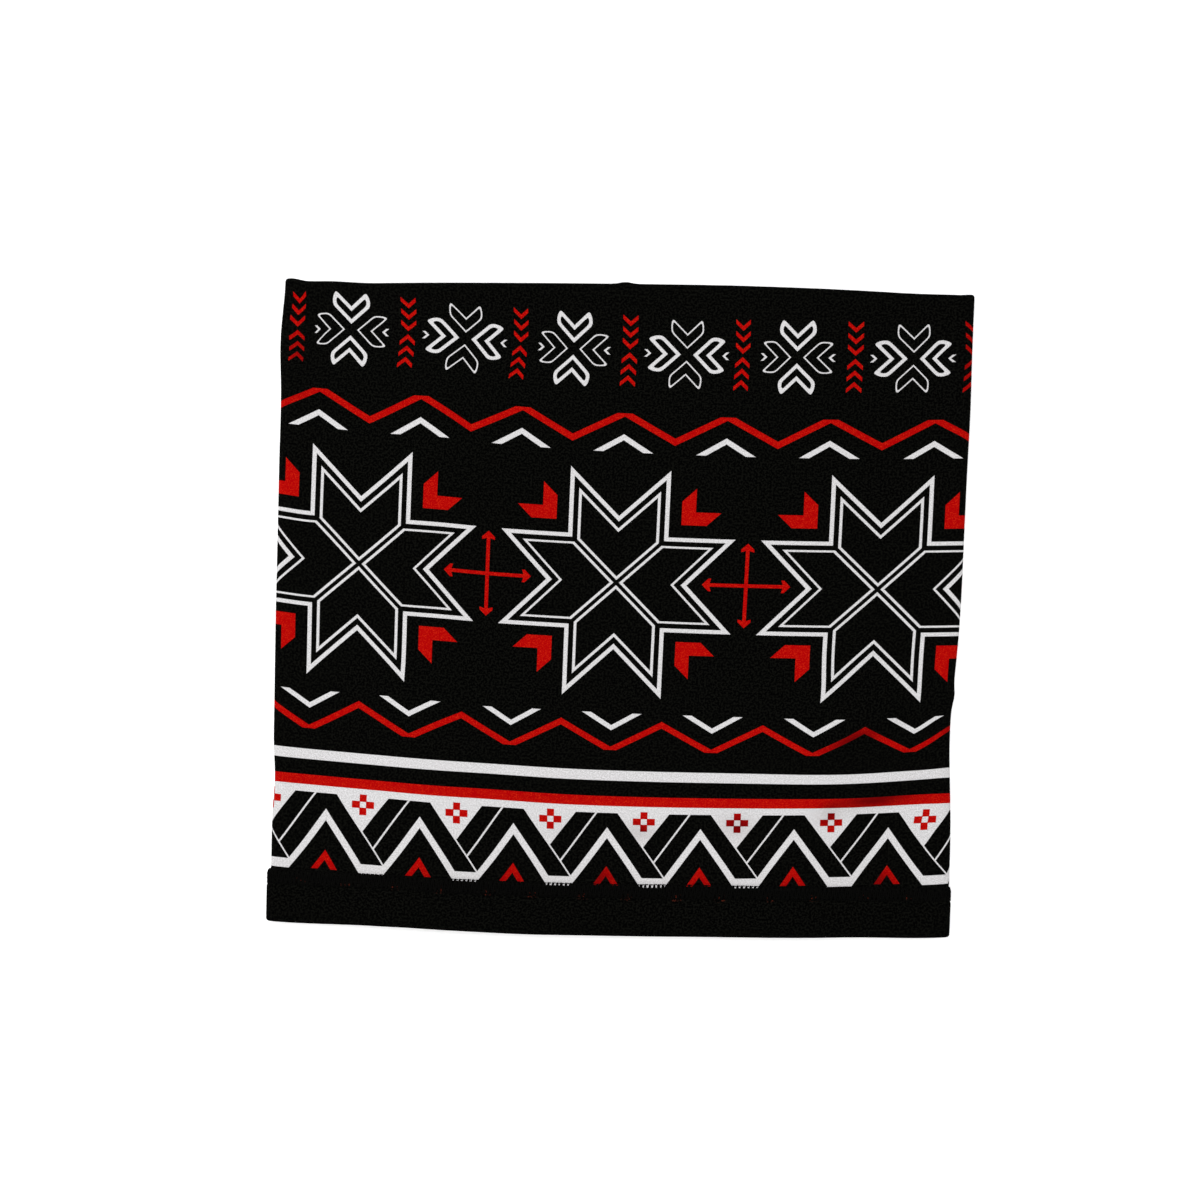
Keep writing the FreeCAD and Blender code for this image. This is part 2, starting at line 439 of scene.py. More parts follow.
TUGS = (
    Tug(x=0.0, y=95.0, reach_x=400.0, reach_y=20.0, right=1.1, up=-0.3),
    Tug(x=-52.0, y=98.0, reach_x=28.0, reach_y=16.0, right=1.0, up=0.0),
    Tug(x=-68.0, y=84.0, reach_x=19.0, reach_y=34.0, right=0.0, up=1.35),
    Tug(x=-12.0, y=94.0, reach_x=15.0, reach_y=22.0, right=-0.7, up=0.1),
    Tug(x=-75.0, y=106.0, reach_x=45.0, reach_y=9.0, right=0.6, up=0.0),
    Tug(x=-70.0, y=80.0, reach_x=50.0, reach_y=9.0, right=-0.6, up=0.0),
    Tug(x=-124.0, y=99.0, reach_x=13.0, reach_y=15.0, right=1.2, up=-2.1),
    Tug(x=-128.0, y=98.0, reach_x=3.0, reach_y=9.0, right=-2.3, up=0.0),
    Tug(x=-110.5, y=97.0, reach_x=3.5, reach_y=6.0, right=-0.5, up=0.0),
    Tug(x=-124.0, y=112.0, reach_x=8.0, reach_y=6.5, right=1.9, up=-1.1),
    Tug(x=127.0, y=98.0, reach_x=5.0, reach_y=24.0, right=1.5, up=0.0),
    Tug(x=118.0, y=95.0, reach_x=7.0, reach_y=8.0, right=-0.6, up=0.0),
    Tug(x=-122.0, y=89.0, reach_x=9.0, reach_y=8.0, right=0.8, up=0.0),
    Tug(x=-101.0, y=88.0, reach_x=14.0, reach_y=12.0, right=-0.1, up=0.5),
    Tug(x=67.0, y=96.0, reach_x=19.0, reach_y=20.0, right=-1.1, up=0.2),
    Tug(x=-112.0, y=30.0, reach_x=55.0, reach_y=75.0, right=0.8, up=0.0),
    Tug(x=115.0, y=20.0, reach_x=36.0, reach_y=110.0, right=1.05, up=-0.1),
    Tug(x=-85.0, y=5.0, reach_x=60.0, reach_y=38.0, right=0.0, up=-0.6),
    Tug(x=-20.0, y=-40.0, reach_x=60.0, reach_y=16.0, right=0.0, up=-0.3),
    Tug(x=-117.0, y=26.0, reach_x=9.0, reach_y=26.0, right=0.0, up=-0.5),
    Tug(x=-67.0, y=15.0, reach_x=14.0, reach_y=30.0, right=0.1, up=0.35),
    Tug(x=-85.0, y=-38.0, reach_x=20.0, reach_y=12.0, right=-0.8, up=0.2),
    Tug(x=-52.0, y=-37.0, reach_x=12.0, reach_y=10.0, right=0.6, up=-0.4),
    Tug(x=-116.0, y=-30.0, reach_x=18.0, reach_y=20.0, right=0.0, up=-0.6),
    Tug(x=-85.0, y=-84.0, reach_x=14.0, reach_y=12.0, right=0.0, up=0.45),
    Tug(x=-110.0, y=-70.0, reach_x=60.0, reach_y=15.0, right=-0.6, up=1.2),
    Tug(x=-45.0, y=-68.0, reach_x=20.0, reach_y=14.0, right=-0.2, up=0.4),
    Tug(x=115.0, y=-66.0, reach_x=20.0, reach_y=14.0, right=0.0, up=0.8),
    Tug(x=78.0, y=-50.0, reach_x=24.0, reach_y=16.0, right=0.0, up=-0.8),
    Tug(x=88.0, y=-29.0, reach_x=26.0, reach_y=10.0, right=0.8, up=0.0),
    Tug(x=68.0, y=-44.0, reach_x=40.0, reach_y=8.0, right=0.0, up=-0.3),
    Tug(x=109.5, y=-50.0, reach_x=13.0, reach_y=8.5, right=-1.9, up=0.3),
    Tug(x=125.0, y=-46.0, reach_x=8.0, reach_y=8.0, right=0.0, up=3.2),
    Tug(x=121.0, y=-38.0, reach_x=7.0, reach_y=4.0, right=-1.2, up=0.0),
    Tug(x=108.0, y=-42.0, reach_x=6.0, reach_y=4.0, right=0.5, up=0.0),
    Tug(x=-122.0, y=-28.0, reach_x=8.0, reach_y=5.0, right=0.0, up=-0.6),
    Tug(x=88.0, y=-46.0, reach_x=12.0, reach_y=7.0, right=0.0, up=-0.5),
    Tug(x=125.0, y=-101.0, reach_x=7.0, reach_y=9.0, right=1.2, up=0.0),
    Tug(x=122.0, y=-60.0, reach_x=9.0, reach_y=5.0, right=0.0, up=0.5),
    Tug(x=95.0, y=-95.0, reach_x=70.0, reach_y=12.0, right=-0.2, up=0.8),
    Tug(x=112.0, y=-88.0, reach_x=13.0, reach_y=14.0, right=-0.15, up=-0.5),
    Tug(x=114.0, y=-71.0, reach_x=5.0, reach_y=3.0, right=0.5, up=0.0),
    Tug(x=114.0, y=-77.5, reach_x=5.0, reach_y=3.0, right=-0.45, up=0.0),
    Tug(x=-60.0, y=-95.0, reach_x=90.0, reach_y=14.0, right=0.8, up=0.0),
)


@dataclass(frozen=True)
class PrintLay:
    """How the print's straight rows drift across the cloth as it lies."""

    half_width: float = 125.0
    bow: float = 4.3
    tilt: float = -3.0
    tilt_from: float = -80.0
    tilt_full: float = -20.0
    lean_from: float = 66.0
    lean: float = 0.0165
    squeeze: float = 0.018
    squeeze_y: float = -50.0
    squeeze_reach: float = 50.0
    spread: float = 0.0045
    spread_from: float = 64.0
    spread_full: float = 123.0

    def coordinates(self, girth: np.ndarray, path: np.ndarray, x: np.ndarray, y: np.ndarray) -> np.ndarray:
        """Place in the print for a place on the shell.

        Args:
            girth: Distance around the tube from the front centre.
            path: Height along the cloth, which goes on past the top fold.
            x: Distance from the centre line, as it lies.
            y: Height on the gaiter, as it lies.

        Returns:
            Across and up the print, in millimetres.
        """
        u = x / self.half_width
        rise = self.tilt * eased(y, self.tilt_from, self.tilt_full) * u + self.bow * u**2
        stretch = self.squeeze * hill(y, self.squeeze_y, self.squeeze_reach)
        spread = self.spread * eased(np.abs(x), self.spread_from, self.spread_full)
        across = girth * (1.0 + stretch - spread) + self.lean * (self.lean_from - y)
        up = path * (1.0 - spread) - rise
        for tug in TUGS:
            strength = tug.strength(x, y)
            across = across - tug.right * strength
            up = up - tug.up * strength
        return np.stack([across, up], axis=-1)


# ---------------------------------------------------------------- mesh making


def new_piece(
    name: str, mesh: bpy.types.Mesh, slot: Slot, node: str, *finishes: bpy.types.Material
) -> bpy.types.Object:
    """A piece of the gaiter, riding on its body and standing for its CAD node.

    Args:
        name: Name of the piece.
        mesh: Its mesh, in metres.
        slot: Not used.
        node: CAD node it stands for.
        finishes: Its materials, in order.

    Returns:
        The new object.
    """
    piece = bpy.data.objects.new(name, mesh)
    bpy.context.scene.collection.objects.link(piece)
    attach(piece, "root")
    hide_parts(node)
    for finish in finishes:
        piece.data.materials.append(finish)
    LOG.info("%s: %d faces", name, len(mesh.polygons))
    return piece


def mesh_from(
    name: str, points: np.ndarray, faces: Sequence[Sequence[int]], smooth: bool = True
) -> bpy.types.Mesh:
    """A mesh from points in millimetres.

    Args:
        name: Name of the mesh.
        points: Corner points.
        faces: Corner numbers of each face.
        smooth: Whether its faces are shaded smooth.

    Returns:
        The mesh, in metres.
    """
    mesh = bpy.data.meshes.new(name)
    mesh.from_pydata((points.reshape(-1, 3) * MM).tolist(), [], faces)
    mesh.polygons.foreach_set("use_smooth", [smooth] * len(mesh.polygons))
    mesh.update()
    return mesh


@dataclass
class Profile:
    """Closed outline of a cloth layer's section: depth inwards and height, all the way round."""

    inset: np.ndarray
    y: np.ndarray
    past_top: np.ndarray  # 1 where the cloth has turned over the top fold
    wrong_side: np.ndarray  # 1 where the face that starts here is the cloth's back


def turned_profile(inner: float, cloth: float, edge: float, inner_end: float, fold: float) -> Profile:
    """Section of cloth that runs along the outside to a fold and turns back inside.

    Args:
        inner: Inset of the inner layer's face towards the middle.
        cloth: Thickness of each layer.
        edge: Height of the outer layer's raw edge.
        inner_end: Height of the inner layer's raw edge.
        fold: Height of the fold, above or below both edges.

    Returns:
        The closed profile, which starts at the outer raw edge.
    """
    way = 1.0 if fold > edge else -1.0
    big = inner / 2
    small = (inner - 2 * cloth) / 2
    bend = fold - way * big
    run = rows_between(edge, bend)
    back = rows_between(bend, inner_end)
    arc = np.linspace(0.0, math.pi, 9)[1:-1]
    outer_bend = bend + way * big * np.sin(arc)
    inner_bend = bend + way * small * np.sin(arc)
    right_side = [np.full(run.size, 0.0), big - big * np.cos(arc), np.full(back.size, inner)]
    wrong_side = [np.full(back.size, inner - cloth), big + small * np.cos(arc), np.full(run.size, cloth)]
    inset = np.concatenate(right_side + wrong_side)
    y = np.concatenate([run, outer_bend, back, back[::-1], inner_bend, run[::-1]])
    half = arc.size // 2
    outside = np.zeros(run.size + half)
    past = np.concatenate([outside, np.ones(arc.size + 2 * back.size), np.zeros(arc.size - half + run.size)])
    wrong = np.repeat([0.0, 1.0], run.size + arc.size + back.size)
    return Profile(inset, y, past, wrong)


def flat_profile(outer: float, inner: float, low: float, high: float, soft: float = 0.25) -> Profile:
    """Section of a single layer with softly rounded raw edges.

    Args:
        outer: Inset of its outer face.
        inner: Inset of its inner face.
        low: Height of its lower edge.
        high: Height of its upper edge.
        soft: How far the raw edges bulge.

    Returns:
        The closed profile, which starts at the lower outer corner.
    """
    run = rows_between(low, high)
    middle = (outer + inner) / 2
    inset = np.concatenate([np.full(run.size, outer), [middle], np.full(run.size, inner), [middle]])
    y = np.concatenate([run, [high + soft], run[::-1], [low - soft]])
    wrong = np.concatenate([np.zeros(run.size + 1), np.ones(run.size + 1)])
    return Profile(inset, y, np.zeros(y.size), wrong)


def rows_between(
    start: float, end: float, step: float = 2.0, fine: float = 0.5, reach: float = 6.0
) -> np.ndarray:
    """Heights of a mesh's rows between two edges, closer near both.

    Args:
        start: First height.
        end: Last height.
        step: Spacing in the middle.
        fine: Spacing near the edges.
        reach: How far from an edge the rows stay close.

    Returns:
        The heights, both ends included.
    """
    length = abs(end - start)
    way = 1.0 if end > start else -1.0
    if length <= 2 * reach:
        return np.linspace(start, end, max(3, round(length / fine) + 1))
    close = np.linspace(0.0, reach, round(reach / fine) + 1)
    wide = np.linspace(reach, length - reach, max(2, round((length - 2 * reach) / step) + 1))
    return start + way * np.concatenate([close[:-1], wide[:-1], length - close[::-1]])


def swept_mesh(
    name: str, lay: GaiterLay, stations: np.ndarray, profile: Profile, inset: np.ndarray
) -> bpy.types.Mesh:
    """A layer of cloth: its section carried all the way round the tube.

    Args:
        name: Name of the mesh.
        lay: How the tube lies.
        stations: Places around the tube.
        profile: The layer's section.
        inset: Depth inwards for every station and section point.

    Returns:
        The closed mesh, with the print's coordinates in its UV map.
    """
    points = lay.place(stations[:, None], profile.y[None, :], inset)
    count, sides = points.shape[:2]
    corner = np.arange(count * sides).reshape(count, sides)
    ahead = np.roll(corner, -1, axis=0)
    above = np.roll(corner, -1, axis=1)
    beyond = np.roll(ahead, -1, axis=1)
    mesh = mesh_from(name, points, np.stack([corner, ahead, beyond, above], axis=-1).reshape(-1, 4).tolist())
    write_print_map(mesh, lay, stations, profile, points)
    return mesh


def write_print_map(
    mesh: bpy.types.Mesh, lay: GaiterLay, stations: np.ndarray, profile: Profile, points: np.ndarray
) -> None:
    """Stores each face corner's place in the print, in metres, as a UV map.

    Args:
        mesh: A swept mesh.
        lay: How the tube lies.
        stations: Places around the tube.
        profile: The layer's section.
        points: The mesh's points, in millimetres, by station and section point.
    """
    x = np.concatenate([points[..., 0], points[:1, :, 0]])
    y = np.concatenate([points[..., 1], points[:1, :, 1]])
    girth = np.concatenate([stations, [stations[0] + lay.girth]])[:, None]
    top = lay.lying_y(x, np.full_like(x, lay.top_y))
    path = np.where(profile.past_top[None, :] > 0, 2 * top - y, y)
    drawn = lay.drawn_length(girth) * lay.side_edge(np.sign(girth), y) / (lay.width / 2)
    place = PrintLay().coordinates(drawn, path, x, y) * MM
    # painted shade of the creases and dimples, stored on the points for the printed knit's colours
    painted_shade = sum(crease.painted_shade * crease.strength(points[..., 0], points[..., 1]) for crease in CREASES)
    values = mesh.attributes.new(PAINTED_SHADE_MAP, "FLOAT", "POINT")
    values.data.foreach_set("value", np.clip(painted_shade, 0.0, 1.0).reshape(-1))
    count, sides = points.shape[:2]
    i, j = np.divmod(np.arange(count * sides), sides)
    after = (j + 1) % sides
    corners = np.stack([place[i, j], place[i + 1, j], place[i + 1, after], place[i, after]], axis=1)
    layer = mesh.uv_layers.new(name=PRINT_MAP)
    layer.data.foreach_set("uv", corners.reshape(-1))


@dataclass(frozen=True)
class Thread:
    """A sewing thread's thickness: across the cloth and standing out of it."""

    across: float
    out: float
    sides: int = 6
    tip: float = 0.45  # how much of its thickness is left at the ends

    def mesh(self, name: str, paths: np.ndarray, out: np.ndarray) -> bpy.types.Mesh:
        """One mesh of many short threads.

        Args:
            name: Name of the mesh.
            paths: Centre lines in millimetres, by thread and point.
            out: Direction out of the cloth at each point.

        Returns:
            The mesh, closed at each thread's ends.
        """
        count, length = paths.shape[:2]
        run = np.gradient(paths, axis=1)
        run /= np.linalg.norm(run, axis=-1, keepdims=True)
        side = np.cross(run, out)
        side /= np.linalg.norm(side, axis=-1, keepdims=True)
        up = np.cross(side, run)
        taper = np.ones(length)
        taper[[0, -1]] = self.tip
        ring = 2 * math.pi * np.arange(self.sides) / self.sides
        flat = (self.across / 2) * np.cos(ring)[None, :] * taper[:, None]
        tall = (self.out / 2) * np.sin(ring)[None, :] * taper[:, None]
        sideways = side[:, :, None, :] * flat[None, :, :, None]
        upwards = up[:, :, None, :] * tall[None, :, :, None]
        points = paths[:, :, None, :] + sideways + upwards
        faces: list[tuple[int, ...]] = []
        for k in range(count):
            base = k * length * self.sides
            for p in range(length - 1):
                here = base + p * self.sides
                for q in range(self.sides):
                    r = (q + 1) % self.sides
                    faces.append((here + q, here + r, here + self.sides + r, here + self.sides + q))
            last = base + (length - 1) * self.sides
            faces.append(tuple(base + q for q in reversed(range(self.sides))))
            faces.append(tuple(last + q for q in range(self.sides)))
        return mesh_from(name, points, faces)


# ---------------------------------------------------------------- shader maths


class Field:
    """A number that varies over the cloth, worked out by shader nodes, with ordinary arithmetic."""

    def __init__(self, tree: bpy.types.NodeTree, socket: bpy.types.NodeSocket) -> None:
        """Wraps a node's output.

        Args:
            tree: The material's node tree.
            socket: Output that holds the number.
        """
        self.tree = tree
        self.socket = socket

    def made(self, operation: str, *values: "Field | float", clamp: bool = False) -> "Field":
        """A new field from a maths node.

        Args:
            operation: The node's operation.
            values: What its inputs take, in order.
            clamp: Whether the result is kept between 0 and 1.

        Returns:
            The node's result.
        """
        node = self.tree.nodes.new("ShaderNodeMath")
        node.operation = operation
        node.use_clamp = clamp
        for slot, value in zip(node.inputs, values):
            if isinstance(value, Field):
                self.tree.links.new(value.socket, slot)
            else:
                slot.default_value = value
        return Field(self.tree, node.outputs[0])

    def __add__(self, other: "Field | float") -> "Field":
        """Sum."""
        return self.made("ADD", self, other)

    def __radd__(self, other: float) -> "Field":
        """Sum with a number first."""
        return self.made("ADD", other, self)

    def __sub__(self, other: "Field | float") -> "Field":
        """Difference."""
        return self.made("SUBTRACT", self, other)

    def __rsub__(self, other: float) -> "Field":
        """Difference with a number first."""
        return self.made("SUBTRACT", other, self)

    def __mul__(self, other: "Field | float") -> "Field":
        """Product."""
        return self.made("MULTIPLY", self, other)

    def __rmul__(self, other: float) -> "Field":
        """Product with a number first."""
        return self.made("MULTIPLY", other, self)

    def __neg__(self) -> "Field":
        """Opposite."""
        return self.made("MULTIPLY", self, -1.0)

    def __abs__(self) -> "Field":
        """Size without sign."""
        return self.made("ABSOLUTE", self)

    def above(self, limit: "Field | float") -> "Field":
        """1 where the field is over the limit, else 0."""
        return self.made("GREATER_THAN", self, limit)

    def wrapped(self, pitch: float) -> "Field":
        """Distance to the nearest multiple of the pitch, with its sign."""
        return self.made("WRAP", self, pitch / 2, -pitch / 2)

    def sine(self) -> "Field":
        """Sine."""
        return self.made("SINE", self)

    def root(self) -> "Field":
        """Square root."""
        return self.made("SQRT", self)

    def modulo(self, pitch: float) -> "Field":
        """Distance past the last multiple of the pitch."""
        return self.made("FLOORED_MODULO", self, pitch)

    def ramp(self, start: float, end: float) -> "Field":
        """0 up to the start, 1 from the end on, and straight between."""
        gain = 1.0 / (end - start)
        return self.made("MULTIPLY_ADD", self, gain, -start * gain, clamp=True)

    def rounded_with(self, other: "Field", rounding: float) -> "Field":
        """Inside both shapes, with the corners between them rounded."""
        return self.made("SMOOTH_MIN", self, other, rounding)

    def ink(self) -> "Field":
        """Coverage from a distance inside a printed shape, with a soft edge."""
        return self.made("MULTIPLY_ADD", self, 1.0 / INK_EDGE, 0.5 - INK_LOSS / INK_EDGE, clamp=True)


def both(*fields: "Field | float") -> Field:
    """Inside all of the shapes: the least of the distances."""
    return folded_pairs("MINIMUM", fields)


def either(*fields: "Field | float") -> Field:
    """Inside any of the shapes: the greatest of the distances."""
    return folded_pairs("MAXIMUM", fields)


def folded_pairs(operation: str, fields: Sequence["Field | float"]) -> Field:
    """Joins distances two at a time.

    Args:
        operation: MINIMUM or MAXIMUM.
        fields: The distances, the first of which is a field.

    Returns:
        The joined distance.
    """
    joined = fields[0]
    for other in fields[1:]:
        joined = joined.made(operation, joined, other)
    return joined


def between(value: Field, low: float, high: float) -> Field:
    """Distance inside a band.

    Args:
        value: What is measured.
        low: Band's lower edge.
        high: Band's upper edge.

    Returns:
        Positive inside the band.
    """
    return (high - low) / 2 - abs(value - (high + low) / 2)


# ---------------------------------------------------------------- the print's motifs


@dataclass(frozen=True)
class StarRow:
    """Eight-pointed stars with a bracket at each corner, and arrow crosses between them."""

    pitch: float = 95.5
    shift: float = -0.5
    middle: float = 9.25
    squash: float = 0.943
    arm: float = 18.5
    notch: float = 26.0
    side_slope: float = 0.935
    outline: float = 1.7
    gap: float = 3.4
    thread: float = 0.95
    upright_extra: float = 0.25
    bar: float = 0.62
    bar_line: float = 1.15
    bracket_middle: float = 9.9
    bracket_squash: float = 0.933
    bracket_low: float = 22.85
    bracket_high: float = 28.2
    bracket_reach: float = 9.4
    cross_reach: float = 16.3
    cross_squash: float = 0.957
    cross_half: float = 0.76
    cross_lift: float = 0.55
    head_half: float = 2.5
    head_length: float = 2.8
    head_slope: float = 0.95
    head_barb: float = 0.3

    def star(self, s: Field, t: Field) -> tuple[Field, Field]:
        """White star lines and red brackets.

        Args:
            s: Place across the print.
            t: Place up the print.

        Returns:
            Distances inside the white and the red shapes.
        """
        x = abs((s - self.shift).wrapped(self.pitch))
        y = abs((t - self.middle) * (1.0 / self.squash))
        far = either(x, y)
        near = both(x, y)
        upright = y.above(x)
        slope = upright * (1.0 - self.side_slope) + self.side_slope
        inside = both(self.arm - near, (self.notch - far + near * slope) * (1.0 / ROOT2))
        line = both(inside, self.outline - inside)
        petal = inside - self.gap
        off_bar = (far - near) * (1.0 / ROOT2) - self.bar
        thread = upright * self.upright_extra + self.thread
        inner = both(petal, off_bar, either(thread - petal, self.bar_line - off_bar))
        beside = abs((t - self.bracket_middle) * (1.0 / self.bracket_squash))
        low = both(x, beside)
        reach = (self.bracket_reach - abs(x - beside)) * (1.0 / ROOT2)
        bracket = both(between(low, self.bracket_low, self.bracket_high), reach)
        return either(line, inner), bracket

    def cross(self, s: Field, t: Field) -> Field:
        """Red cross with an arrowhead on each arm."""
        x = abs((s - self.shift - self.pitch / 2).wrapped(self.pitch))
        y = abs(t - self.middle - self.cross_lift) * (1.0 / self.cross_squash)
        far = either(x, y)
        near = both(x, y)
        shaft = both(self.cross_half - near, self.cross_reach - 1.0 - far)
        tip = self.cross_reach - far
        sides = tip - near * self.head_slope
        head = both(sides, self.head_half - near, self.head_length + near * self.head_barb - tip)
        return either(shaft, head)


@dataclass(frozen=True)
class FlakeRow:
    """Snowflakes of four outlined petals, bold upright and bold sideways in turn, with arrowheads."""

    pitch: float = 41.3
    middle: float = 94.0
    centre: float = 2.1
    notch: float = 7.95
    bold_notch: float = 0.95
    back: float = 8.0
    bold_back: float = -0.3
    back_side: float = 1.0
    bold_side: float = 0.4
    shoulder: float = 8.6
    bold_shoulder: float = 1.0
    flank: float = 6.1
    bold_flank: float = 1.2
    line: float = 0.68
    bold_line: float = 0.75
    tallness: float = 0.975
    arrow_tip: float = 11.2
    bold_arrow: float = 1.7
    arrow_line: float = 0.88
    arrow_half: float = 1.5
    rounding: float = 1.5
    red_lift: float = 0.4
    red_start: float = 0.45
    red_step: float = 4.22
    red_half: float = 2.8
    red_line: float = 1.95

    def white(self, s: Field, t: Field) -> Field:
        """White petals and arrowheads.

        Args:
            s: Place across the print.
            t: Place up the print.

        Returns:
            Distance inside the white shapes.
        """
        from_first = s + self.pitch / 2
        x = abs(from_first.wrapped(self.pitch))
        y = abs(t - self.middle) * (1.0 / self.tallness)
        sideways = abs(from_first.wrapped(2 * self.pitch)).above(self.pitch / 2)
        upright = y.above(x)
        bold = abs(upright - sideways)
        along = either(x, y)
        across = both(x, y)
        side = across + self.back_side - bold * self.bold_side
        rise = either(along - self.shoulder - bold * self.bold_shoulder, 0.0)
        back = bold * self.bold_back + self.back - (side * side + rise * rise).root()
        flank = bold * self.bold_flank + self.flank - across
        leg = along - across
        notch = (bold * self.bold_notch + self.notch - leg) * (1.0 / ROOT2)
        inside = ((leg - self.centre) * (1.0 / ROOT2)).rounded_with(notch, self.rounding)
        inside = inside.rounded_with(flank, self.rounding).rounded_with(back, self.rounding)
        petal = both(inside, bold * self.bold_line + self.line - inside)
        wing = (x - y * 1.05 - sideways * self.bold_arrow - self.arrow_tip) * 0.69
        arrow = both(wing, self.arrow_line - wing, self.arrow_half - y)
        return either(petal, arrow)

    def red(self, s: Field, t: Field) -> Field:
        """Red columns of small chevrons, which point to the column's middle."""
        x = abs(s.wrapped(self.pitch))
        y = abs(t - self.middle - self.red_lift) - self.red_start
        local = y.modulo(self.red_step)
        past_low = (local - x * 0.93) * 0.73
        under_high = (x * 0.9 + self.red_line - local) * 0.74
        chevron = both(past_low, under_high, self.red_half - x)
        return both(chevron, y, 3 * self.red_step - y)


@dataclass(frozen=True)
class ZigzagRow:
    """A red zigzag with flattened points, and white chevrons nested under them."""

    facing: Facing
    point: float  # height of the zigzag's inner corner at its flattened points
    pitch: float = 37.6
    slope: float = 0.527
    steep: float = 0.88  # turns a height over the zigzag's slope into the distance from it
    depth: float = 2.85
    flat: float = 1.4
    chevron_gap: float = 6.3
    chevron_slope: float = 0.6
    chevron_depth: float = 2.4
    chevron_height: float = 6.45
    chevron_steep: float = 0.86

    def inks(self, s: Field, t: Field) -> tuple[Field, Field]:
        """White chevrons and red zigzag.

        Args:
            s: Place across the print.
            t: Place up the print.

        Returns:
            Distances inside the white and the red shapes.
        """
        x = abs(s.wrapped(self.pitch))
        y = (t - self.point) * self.facing.value
        slant = y + x * self.slope
        red = both(slant * self.steep, (self.depth - slant) * self.steep, self.flat - y)
        nested = y + self.chevron_gap + x * self.chevron_slope
        foot = y + self.chevron_gap + self.chevron_height
        over = -nested * self.chevron_steep
        white = both(over, (nested + self.chevron_depth) * self.chevron_steep, foot)
        return white, red


@dataclass(frozen=True)
class BraidRow:
    """Interlaced black bars on white above the hem, with small red chevrons and crosses."""

    pitch: float = 34.7
    apex: float = -80.6  # height of the white chevron's outer corner
    slope: float = 1.38
    leg_slope: float = 1.35
    bar_flare: float = 0.045
    top: float = 5.2
    top_half: float = 3.7
    white_depth: float = 4.3
    bar_width: float = 7.0
    left_line: float = 0.98
    right_line: float = 0.85
    foot: float = -18.3
    valley: float = -21.9
    ground_top: float = 9.0
    red_apex: float = -14.1
    red_depth: float = 3.9
    red_foot: float = -21.3
    red_slope: float = 1.45
    apex_lift: float = 0.2
    steep: float = 0.58  # turns a height over a white slope into the distance from it
    red_steep: float = 0.57
    plus_x: float = 13.6
    plus_y: float = 2.3
    plus_upright: tuple[float, float] = (1.42, 3.75)  # half sizes of the plus sign's bars
    plus_level: tuple[float, float] = (4.2, 1.34)
    plus_hole: tuple[float, float] = (1.0, 0.92)

    def inks(self, s: Field, t: Field) -> tuple[Field, Field]:
        """White ground between the black bars, and the red shapes.

        Args:
            s: Place across the print.
            t: Place up the print.

        Returns:
            Distances inside the white and the red shapes.
        """
        y = t - self.apex
        right = s.modulo(self.pitch)
        left = self.pitch - right
        under_top = self.top - y
        run = under_top * (1.0 / self.slope) + self.top_half
        leg_run = under_top * (1.0 / self.leg_slope) + self.top_half
        front = both(leg_run - right, under_top)
        front_line = both(leg_run + self.right_line - right, under_top)
        back_bar = both(run - left, under_top)
        reach = self.left_line + self.bar_width
        flared = run + under_top * self.bar_flare + reach
        side_bar = both(flared - left, left - run - self.left_line, under_top)
        black = either(front, both(either(back_bar, side_bar), -front_line))
        near = both(right, left)
        chevron = (self.apex_lift - y - near * self.slope) * self.steep
        inner = (self.apex_lift - y - self.white_depth - near * self.slope) * self.steep
        white = either(-black, chevron, self.foot - y)
        white = both(white, -inner, y - self.valley, self.ground_top - y)
        leg = (self.red_apex - y - near * self.red_slope) * self.red_steep
        thick = (near * self.red_slope + y - self.red_apex + self.red_depth) * self.red_steep
        red = both(leg, thick, y - self.red_foot)
        px = abs((s - self.plus_x).wrapped(self.pitch))
        py = abs(y - self.plus_y)
        sizes = (self.plus_upright, self.plus_level, self.plus_hole)
        upright, level, hole = (both(wide - px, tall - py) for wide, tall in sizes)
        plus = both(either(upright, level), -hole)
        return white, either(red, plus)


@dataclass(frozen=True)
class PulledFibres:
    """Faint red fibres that the hem needles have drawn through where the red chevrons run into the seam."""

    pitch: float = 34.7
    height: float = -105.9
    reach: float = 1.7
    leg: float = 8.1
    leg_half: float = 2.2

    def amount(self, s: Field, t: Field, grain: Field) -> Field:
        """How strongly they show.

        Args:
            s: Place across the print, in millimetres.
            t: Place up the print, in millimetres.
            grain: Random variation.

        Returns:
            Between 0 and 1.
        """
        beside = abs(s.wrapped(self.pitch))
        leg = (self.leg_half - abs(beside - self.leg)).ramp(0.0, 1.2)
        row = (self.reach - abs(t - self.height)).ramp(0.0, 1.0)
        return leg * row * grain.ramp(0.56, 0.70)


@dataclass(frozen=True)
class Stripe:
    """A straight stripe right round the gaiter."""

    middle: float
    width: float

    def ink(self, t: Field) -> Field:
        """Distance inside the stripe."""
        return self.width / 2 - abs(t - self.middle)


